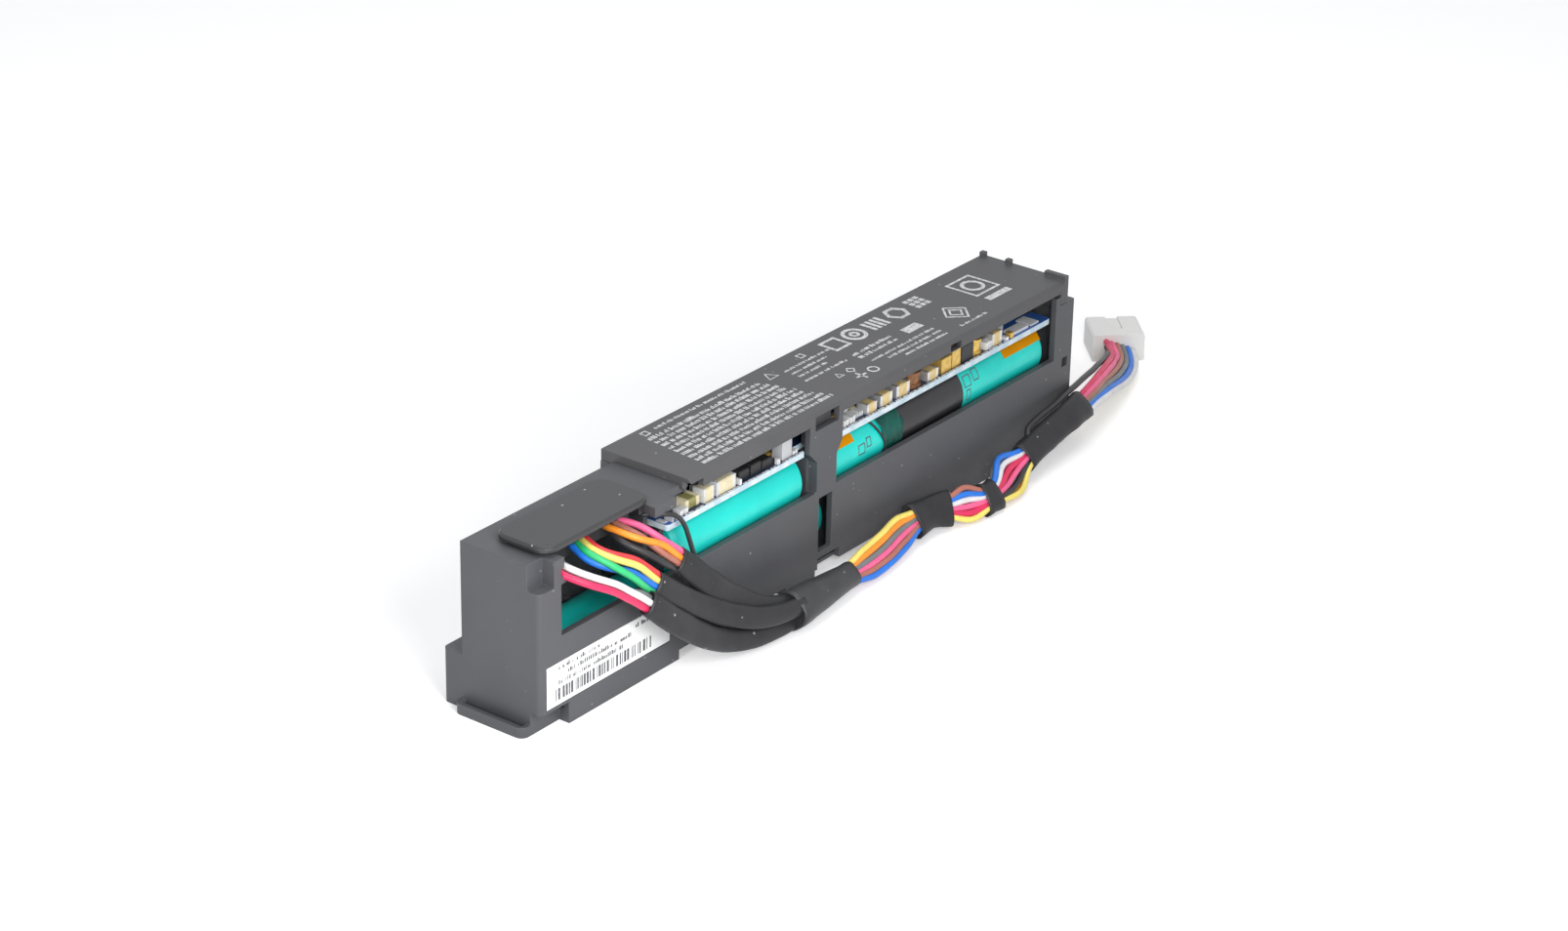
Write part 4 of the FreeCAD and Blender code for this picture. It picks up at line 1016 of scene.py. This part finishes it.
dark_mark = small_part("dark_mark", (0.014, 0.020, 0.060), (0.02, 0.03, 0.09), 0.35)
paper = small_part("sticker_paper", (0.92, 0.92, 0.91), (0.88, 0.88, 0.88), 0.5, scale=500.0,
                   bump=0.05)
print("small finishes", [m.name for m in bpy.data.materials][-6:])

# %% [markdown]
# ## Dress the model's pieces
# One table says which piece wears which finish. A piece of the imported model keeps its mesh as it
# is, and only the material in its single slot changes.

# %% Give every carried-over node its finish
FINISHES = {
    housing_plastic: ["housing"], cover_plastic: ["top_cover"], cap_plastic: ["wire_cap"],
    teal_sleeve: [name for name in nodes if name.startswith("cell_") and name != "cell_band"],
    black_band: ["cell_band"], amber_film: ["amber_pad_left", "amber_pad_right"],
    nickel: [name for name in nodes if name.startswith("tab_")], board_mask: ["circuit_board"],
    olive: ["board_fuse"], ivory: ["tantalum_capacitors"], chip_plastic: ["control_chips"],
    spacer_plastic: ["board_spacer"], beige: ["beige_capacitors"], coil_wire: ["wound_coil"],
    gold: ["gold_capacitors", "gold_coil"], grey_white: ["surface_parts"], solder: ["solder_pads"],
    paper: ["sticker"], plug_plastic: ["connector_shell"], tin: ["connector_terminals"],
}
for material, names in FINISHES.items():
    for name in names:
        mesh = nodes[name].data
        mesh.materials.clear()
        mesh.materials.append(material)
        for polygon in mesh.polygons:
            polygon.material_index = 0
print("dressed", sum(len(names) for names in FINISHES.values()), "nodes")

# %% [markdown]
# ## Print on the lid
# The lid of such a module carries small print. Here it is only plain strokes and plain
# outlines: rows of short uprights with word gaps, and a few rings, squares and triangles. The
# print is modelled as very thin plates, so that it stays crisp from any side. A ring and a
# polygon are the same thing, a small square section that is spun round an axis in many steps
# or in few.

# %% Strokes, rows and outlines
LID_TOP = 42.0
PRINT_HEIGHT = 0.03
PRINT_SINK = 0.02
LETTER_GAP = 0.16
lid_print = bmesh.new()
draw = random.Random(7)


def print_stroke(x0, x1, y0, y1):
    add_block(lid_print, (x0, y0, LID_TOP - PRINT_SINK), (x1, y1, LID_TOP + PRINT_HEIGHT))


def print_row(x0, x1, y, height, letter=0.5):
    """A row of short uprights, in groups that look like words."""
    x = x0
    while x < x1 - letter:
        for _ in range(draw.randint(2, 8)):
            if x > x1 - letter:
                break
            short = height * draw.choice((1.0, 0.8, 0.8, 0.6))
            print_stroke(x, x + letter * draw.choice((0.6, 0.9, 1.0)), y, y + short)
            x += letter + LETTER_GAP
        x += 3 * LETTER_GAP


def print_outline(x, y, radius, sides, stroke, start):
    """A closed outline: a ring with many sides, a square with four, a triangle with three."""
    centre = at(x, y, LID_TOP + 0.5 * (PRINT_HEIGHT - PRINT_SINK))
    section = Matrix.Rotation(math.radians(start), 4, "Z") @ Matrix.Translation((mm(radius), 0, 0))
    section = section @ Matrix.Diagonal((mm(stroke), 1, mm(PRINT_HEIGHT + PRINT_SINK), 1))
    section = section @ Matrix.Rotation(math.pi / 2, 4, "X") @ Matrix.Rotation(math.pi / 4, 4, "Z")
    verts = bmesh.ops.create_circle(lid_print, cap_ends=False, radius=math.sqrt(0.5), segments=4,
                                    matrix=Matrix.Translation(centre) @ section)["verts"]
    edges = list({edge for vert in verts for edge in vert.link_edges})
    bmesh.ops.spin(lid_print, geom=verts + edges, cent=centre, axis=(0, 0, 1), dvec=(0, 0, 0),
                   angle=math.tau, steps=sides, use_merge=True)


print("print helpers", print_row.__name__, print_outline.__name__)

# %% [markdown]
# ## Ink
# Print wears off in small spots, so each ink is a mix of two tones, and the worn spots are a
# little less glossy. One ink is pale, for black plastic, and one is dark, for paper and film.

# %% Ink
WEAR_NOISE = (1400.0, 3.0, 0.6)


def ink(name, tint, worn):
    material, tree, shader = new_material(name)
    spots = add_noise(object_coordinates(tree), *WEAR_NOISE)
    wear = add_range(spots, 0.4, 0.62)
    feed(shader, Base_Color=add_mix(wear, tint, worn),
         Roughness=add_range(wear, 0, 1, 0.5, 0.65))
    return material


pale_ink = ink("pale_ink", (0.72, 0.72, 0.73), (0.42, 0.42, 0.43))
dark_ink = ink("dark_ink", (0.045, 0.045, 0.050), (0.14, 0.14, 0.15))
print("inks", pale_ink.name, dark_ink.name)

# %% [markdown]
# ## The lid's fields of print
# The print lies in a few fields along the lid. Loops lay the rows of a field and the squares
# of a grid, and two tables hold the outlines and the single strokes that stand alone.

# %% The lid's print
for row in range(9):
    print_row(60.5 - 0.2 * row, 100.5 + 0.7 * row, 19.6 - 2.05 * row, 1.35)
print_row(66.0, 99.0, 22.6, 1.0)
for row in range(3):
    print_row(109.0, 126.0 - 3.0 * row, 19.2 - 2.1 * row, 0.9)
for row in range(2):
    print_row(126.5, 142.0, 12.6 - 2.1 * row, 1.2, letter=0.7)
for row in range(3):
    print_row(127.0 + 4.0 * row, 152.0, 7.6 - 2.0 * row, 0.9)
print_row(108.0, 124.0, 12.4, 0.9)
print_row(157.0, 168.0, 3.4, 0.9)
for bar in range(4):
    print_stroke(142.0 + 1.7 * bar, 143.0 + 1.7 * bar, 17.6, 22.6)
for column in range(3):
    for row in range(3):
        print_stroke(159.4 + 1.9 * column, 160.8 + 1.9 * column,
                     17.6 + 1.9 * row, 19.0 + 1.9 * row)

# Left, right, front and rear edge of each single stroke
LID_STROKES = (
    (145.6, 151.6, 10.6, 13.4), (117.0, 120.6, 4.6, 5.2), (118.5, 119.1, 3.1, 6.7),
    (174.4, 183.6, 7.2, 9.2),
)
# Middle x and y, radius, sides, stroke and turn of each outline
LID_OUTLINES = (
    (62.6, 22.9, 1.2, 4, 0.45, 45), (105.0, 20.4, 1.9, 3, 0.5, 90),
    (118.6, 22.2, 1.2, 4, 0.45, 45), (129.2, 20.2, 3.6, 4, 1.1, 45),
    (136.8, 20.2, 2.8, 36, 1.0, 0), (136.8, 20.2, 1.0, 24, 0.8, 0),
    (153.4, 20.0, 2.9, 6, 1.1, 0), (115.4, 8.6, 1.2, 3, 0.45, 90),
    (119.6, 8.6, 1.2, 4, 0.45, 0), (123.4, 4.9, 1.3, 24, 0.45, 0),
    (162.8, 9.4, 3.8, 4, 0.7, 0), (162.8, 9.4, 2.0, 4, 0.7, 0),
    (179.0, 15.8, 6.4, 4, 1.0, 45), (179.0, 15.8, 2.6, 36, 1.0, 0),
)
for stroke in LID_STROKES:
    print_stroke(*stroke)
for outline in LID_OUTLINES:
    print_outline(*outline)
make_piece("lid_print", lid_print, [pale_ink], "cover_plastic")

# %% [markdown]
# ## Print on the sticker
# A white sticker on the end block has rows of small print above a row of upright bars. They are
# plain strokes again, this time standing on the front of the sticker.

# %% Sticker bars
STICKER_FACE = 1000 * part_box("sticker")[0][1] + MIDDLE_Y
sticker_print = bmesh.new()


def sticker_stroke(x0, x1, z0, z1):
    add_block(sticker_print, (x0, STICKER_FACE - PRINT_SINK, z0),
              (x1, STICKER_FACE + PRINT_HEIGHT, z1))


BARS_START, BARS_END = 5.0, 37.0
BARS_LOW, BARS_HIGH = 7.1, 9.9
x = BARS_START
while x < BARS_END:
    bar_width = draw.choice((0.25, 0.25, 0.45, 0.7))
    sticker_stroke(x, x + bar_width, BARS_LOW, BARS_HIGH)
    x += bar_width + draw.choice((0.3, 0.3, 0.5, 0.8))

# Start, end and height of each row
STICKER_ROWS = ((6.0, 27.0, 10.7), (9.0, 30.0, 12.5), (6.0, 19.0, 14.2), (31.5, 40.5, 13.9))
for row_start, row_end, row_z in STICKER_ROWS:
    x = row_start
    while x < row_end:
        sticker_stroke(x, x + draw.choice((0.25, 0.4, 0.5)),
                       row_z, row_z + draw.choice((0.7, 1.0)))
        x += draw.choice((0.62, 0.68, 0.72, 1.3))
make_piece("sticker_print", sticker_print, [dark_ink], "sticker_paper")

# %% [markdown]
# ## Crumpled sleeve at the band
# Where two cells meet, the end of a dark green sleeve is pushed up into folds beside the band.
# It starts as an open cone with equal ends, a tube. The tube's long edges are divided, noise
# pushes the rings in and out, and solidify gives the film a thickness.

# %% Crumple
ROW_Y, ROW_Z = 9.1, 24.48
CELL_RADIUS = 7.1
FOLDS_FROM_Z = 22.6
CRUMPLE_START, CRUMPLE_END = 124.0, 131.6
CRUMPLE_FILM, CRUMPLE_SLANT = 0.12, 1.4
CRUMPLE_SIDES, CRUMPLE_CUTS = 72, 16
RIPPLE_LENGTH, RIPPLE_TURN = 0.8, 3.4
FILM_GAP, RIPPLE_DEPTH = 0.14, 0.10
PUSHED_OUT, FOLD_DEPTH = 0.32, 0.45


def open_tube(x0, x1, y, z, radius, sides):
    """A tube along the housing, without thickness and open at both ends."""
    bm = bmesh.new()
    place = Matrix.Translation(at(0.5 * (x0 + x1), y, z)) @ Matrix.Rotation(math.pi / 2, 4, "Y")
    bmesh.ops.create_cone(bm, cap_ends=False, segments=sides, radius1=mm(radius),
                          radius2=mm(radius), depth=mm(x1 - x0), matrix=place)
    return bm


def folded_radius(x, turn, z):
    """How far the film stands off the cell's middle line."""
    ripple = noise.noise(Vector((x / RIPPLE_LENGTH, RIPPLE_TURN * math.cos(turn),
                                 RIPPLE_TURN * math.sin(turn))))
    facing = max(0.0, -math.cos(turn)) if z > FOLDS_FROM_Z else 0.0
    return (CELL_RADIUS + FILM_GAP + RIPPLE_DEPTH * ripple
            + facing * (PUSHED_OUT + FOLD_DEPTH * ripple))


crumple = open_tube(CRUMPLE_START, CRUMPLE_END, ROW_Y, ROW_Z, CELL_RADIUS, CRUMPLE_SIDES)
long_edges = [edge for edge in crumple.edges
              if abs(edge.verts[0].co.x - edge.verts[1].co.x) > mm(1)]
bmesh.ops.subdivide_edges(crumple, edges=long_edges, cuts=CRUMPLE_CUTS, use_grid_fill=True)
axis_point = at(0, ROW_Y, ROW_Z)
for vert in crumple.verts:
    turn = math.atan2(vert.co.z - axis_point.z, vert.co.y - axis_point.y)
    x = 1000 * vert.co.x + MIDDLE_X
    radius = mm(folded_radius(x, turn, 1000 * vert.co.z))
    to_end = (CRUMPLE_END - x) / (CRUMPLE_END - CRUMPLE_START)
    vert.co.y = axis_point.y + radius * math.cos(turn)
    vert.co.z = axis_point.z + radius * math.sin(turn)
    vert.co.x -= mm(CRUMPLE_SLANT) * math.sin(turn) * to_end
thicken(crumple, CRUMPLE_FILM)
make_piece("crumpled_sleeve", crumple, [crumpled_green], "shrink_band", smooth=True)

# %% [markdown]
# ## Film ring on a lower cell
# Through the slot in the centre post a narrow strip of amber film shows on a cell of the lower
# row. It is a short open tube just wider than the cell, made solid like the crumpled sleeve.

# %% Film ring
LOWER_ROW_Y, LOWER_ROW_Z = 12.8, 10.2
RING_START, RING_END = 101.9, 103.7
RING_GAP, RING_FILM = 0.12, 0.10
film_ring = open_tube(RING_START, RING_END, LOWER_ROW_Y, LOWER_ROW_Z, CELL_RADIUS + RING_GAP, 64)
thicken(film_ring, RING_FILM)
make_piece("film_ring", film_ring, [amber_film], "amber_film", smooth=True)

# %% [markdown]
# ## Thin wires
# A thin black wire loops out beside the cap and joins the upper lead. Another comes down from
# the board over the cell. Each is a single strand, swept along its own smooth line.

# %% Loop wire and cell wire
LOOP_POINTS = (
    (37.5, 4.0, 37.4), (40.5, 0.2, 37.6), (44.0, -0.8, 36.6), (46.6, -1.2, 33.4),
    (47.6, -1.9, 29.0), (48.2, -2.8, 25.2), (50.6, -4.0, 21.0), (54.0, -5.0, 16.6),
)
CELL_WIRE_POINTS = (
    (118.6, 5.8, 31.5), (120.4, 4.6, 30.5), (121.8, 2.7, 28.6), (123.4, 1.75, 26.0),
    (124.6, 1.55, 23.8), (125.0, 2.1, 21.4),
)


def thin_wire(name, points, radius):
    curve = wire_curve(name, radius, 8, 3)
    add_spline(curve, [at(*point) for point in points])
    return wire_piece(name, curve, [wire_materials[wire_slots["black"]]])


loop_wire = thin_wire("loop_wire", LOOP_POINTS, 0.55)
thin_wire("cell_wire", CELL_WIRE_POINTS, 0.3)

# %% [markdown]

# %% [markdown]
# ## Marks on the cell
# A cell's sleeve has a few printed outlines. They are drawn flat, from thin grids, as if the
# sleeve was unrolled, and then the whole drawing is bent round the cell.

# %% Bent outlines
MARK_RADIUS = CELL_RADIUS + 0.015
MARK_THICKNESS = 0.04
cell_marks = bmesh.new()


def flat_stroke(x0, x1, v0, v1):
    """A thin rectangle, x along the cell and v round it, both in millimetres."""
    place = Matrix.Translation((0.5 * (x0 + x1), 0.5 * (v0 + v1), 0))
    place = place @ Matrix.Diagonal((x1 - x0, v1 - v0, 1, 1))
    bmesh.ops.create_grid(cell_marks, x_segments=1, y_segments=8, size=0.5, matrix=place)


def flat_frame(x0, x1, v0, v1, stroke=0.28):
    flat_stroke(x0, x1, v0, v0 + stroke)
    flat_stroke(x0, x1, v1 - stroke, v1)
    flat_stroke(x0, x0 + stroke, v0, v1)
    flat_stroke(x1 - stroke, x1, v0, v1)


# Left, right, lower and upper edge of each outline
CELL_OUTLINES = (
    (157.4, 160.2, 1.6, 4.6), (157.9, 159.7, -1.9, 1.0), (161.2, 163.6, 2.2, 5.2),
    (114.6, 117.2, -0.6, 2.0), (117.8, 119.6, 0.4, 2.8),
)
for outline in CELL_OUTLINES:
    flat_frame(*outline)
for vert in cell_marks.verts:
    x, v = vert.co.x, vert.co.y
    turn = v / MARK_RADIUS
    vert.co = at(x, ROW_Y - MARK_RADIUS * math.cos(turn), ROW_Z + MARK_RADIUS * math.sin(turn))
thicken(cell_marks, MARK_THICKNESS)
make_piece("cell_marks", cell_marks, [dark_ink], "cell_sleeve")

# %% [markdown]
# ## Trim on the board
# The ceramic parts have tinned ends, and the board's margin is full of small pads and chips. The
# ends are thin caps round the ends of each body. The rest is scattered along the front margin,
# in the gaps between the larger parts, with a seeded generator so that each run gives the same
# board.

# %% Tinned ends and margin parts
BOARD_TOP = 33.31
PART_SINK = 0.05
TRIM_MATERIALS = [tin, grey_white, ivory, chip_plastic, gold, dark_mark, solder]
TIN, PALE, IVORY, BLACK, GOLD, NAVY, SOLDER = range(7)
trim = bmesh.new()


def bodies_of(name):
    """The boxes of a node's separate bodies on the maker's ruler."""
    bm = bmesh.new()
    bm.from_mesh(nodes[name].data)
    bmesh.ops.remove_doubles(bm, verts=bm.verts, dist=mm(MERGE))
    left = set(bm.verts)
    boxes = []
    while left:
        shell, front = set(), [left.pop()]
        while front:
            vert = front.pop()
            shell.add(vert)
            near = {edge.other_vert(vert) for edge in vert.link_edges} & left
            left -= near
            front += near
        xs, ys, zs = zip(*(vert.co for vert in shell))
        boxes.append((1000 * min(xs) + MIDDLE_X, 1000 * max(xs) + MIDDLE_X,
                      1000 * min(ys) + MIDDLE_Y, 1000 * max(ys) + MIDDLE_Y, 1000 * max(zs)))
    bm.free()
    return sorted(boxes)


def board_part(x0, x1, y0, y1, height, slot, bevel=0.0):
    """A small box that stands on the board."""
    add_block(trim, (x0, y0, BOARD_TOP - PART_SINK), (x1, y1, BOARD_TOP + height), bevel, slot)


CAP_PROUD = 0.04
CAPPED = {"beige_capacitors": (TIN, 0.17), "tantalum_capacitors": (PALE, 0.12),
          "board_fuse": (IVORY, 0.22), "surface_parts": (SOLDER, 0.25)}
for name, (cap_slot, cap_share) in CAPPED.items():
    for x0, x1, y0, y1, z1 in bodies_of(name):
        reach = cap_share * (x1 - x0)
        for start, end in ((x0 - CAP_PROUD, x0 + reach), (x1 - reach, x1 + CAP_PROUD)):
            add_block(trim, (start, y0 - CAP_PROUD, BOARD_TOP - PART_SINK),
                      (end, y1 + CAP_PROUD, z1 + CAP_PROUD), slot=cap_slot)

FRONT_STRIP = 5
ROOM = 0.3
taken = []
for name in (*CAPPED, "control_chips", "gold_capacitors", "gold_coil", "wound_coil",
             "board_spacer", "solder_pads"):
    taken += [(x0 - ROOM, x1 + ROOM) for x0, x1, y0, y1, z1 in bodies_of(name)
              if y0 < FRONT_STRIP]

SECOND_ROW, SECOND_ROW_DEPTH = 5.6, 1.4
SECOND_ROW_SPANS = ((46.0, 88.0), (108.0, 176.0))
for window_start, window_end in SECOND_ROW_SPANS:
    x = window_start
    while x < window_end:
        wide = draw.choice((1.2, 1.8, 2.6))
        board_part(x, x + wide, SECOND_ROW, SECOND_ROW + SECOND_ROW_DEPTH,
                   draw.choice((0.9, 1.6, 2.4)), draw.choice((PALE, IVORY, GOLD, BLACK, PALE)),
                   bevel=0.06)
        x += wide + draw.choice((0.8, 1.6, 3.0))

MARGIN = 1.32
MARGIN_SPANS = ((45.6, 91.5), (107.4, 176.0))
for window_start, window_end in MARGIN_SPANS:
    x = window_start
    while x < window_end:
        wide = draw.choice((0.6, 0.8, 1.0, 1.4))
        free = all(x + wide < start or x > end for start, end in taken)
        kind = draw.choice((PALE, PALE, TIN, SOLDER, IVORY, BLACK, GOLD))
        if free:
            tall = draw.choice((0.5, 0.9, 1.4, 1.9))
            board_part(x, x + wide, MARGIN + 0.1, MARGIN + draw.choice((1.0, 1.6, 2.4)), tall,
                       kind, bevel=0.05)
        else:
            board_part(x, x + wide, MARGIN, MARGIN + 0.3, 0.12,
                       draw.choice((PALE, SOLDER, TIN)))
        x += wide + draw.choice((0.25, 0.4, 0.7))
board_part(43.9, 45.3, 2.4, 4.8, 0.1, PALE)
board_part(110.4, 113.6, 3.6, 5.2, 0.1, NAVY)
make_piece("board_trim", trim, TRIM_MATERIALS, "solder")
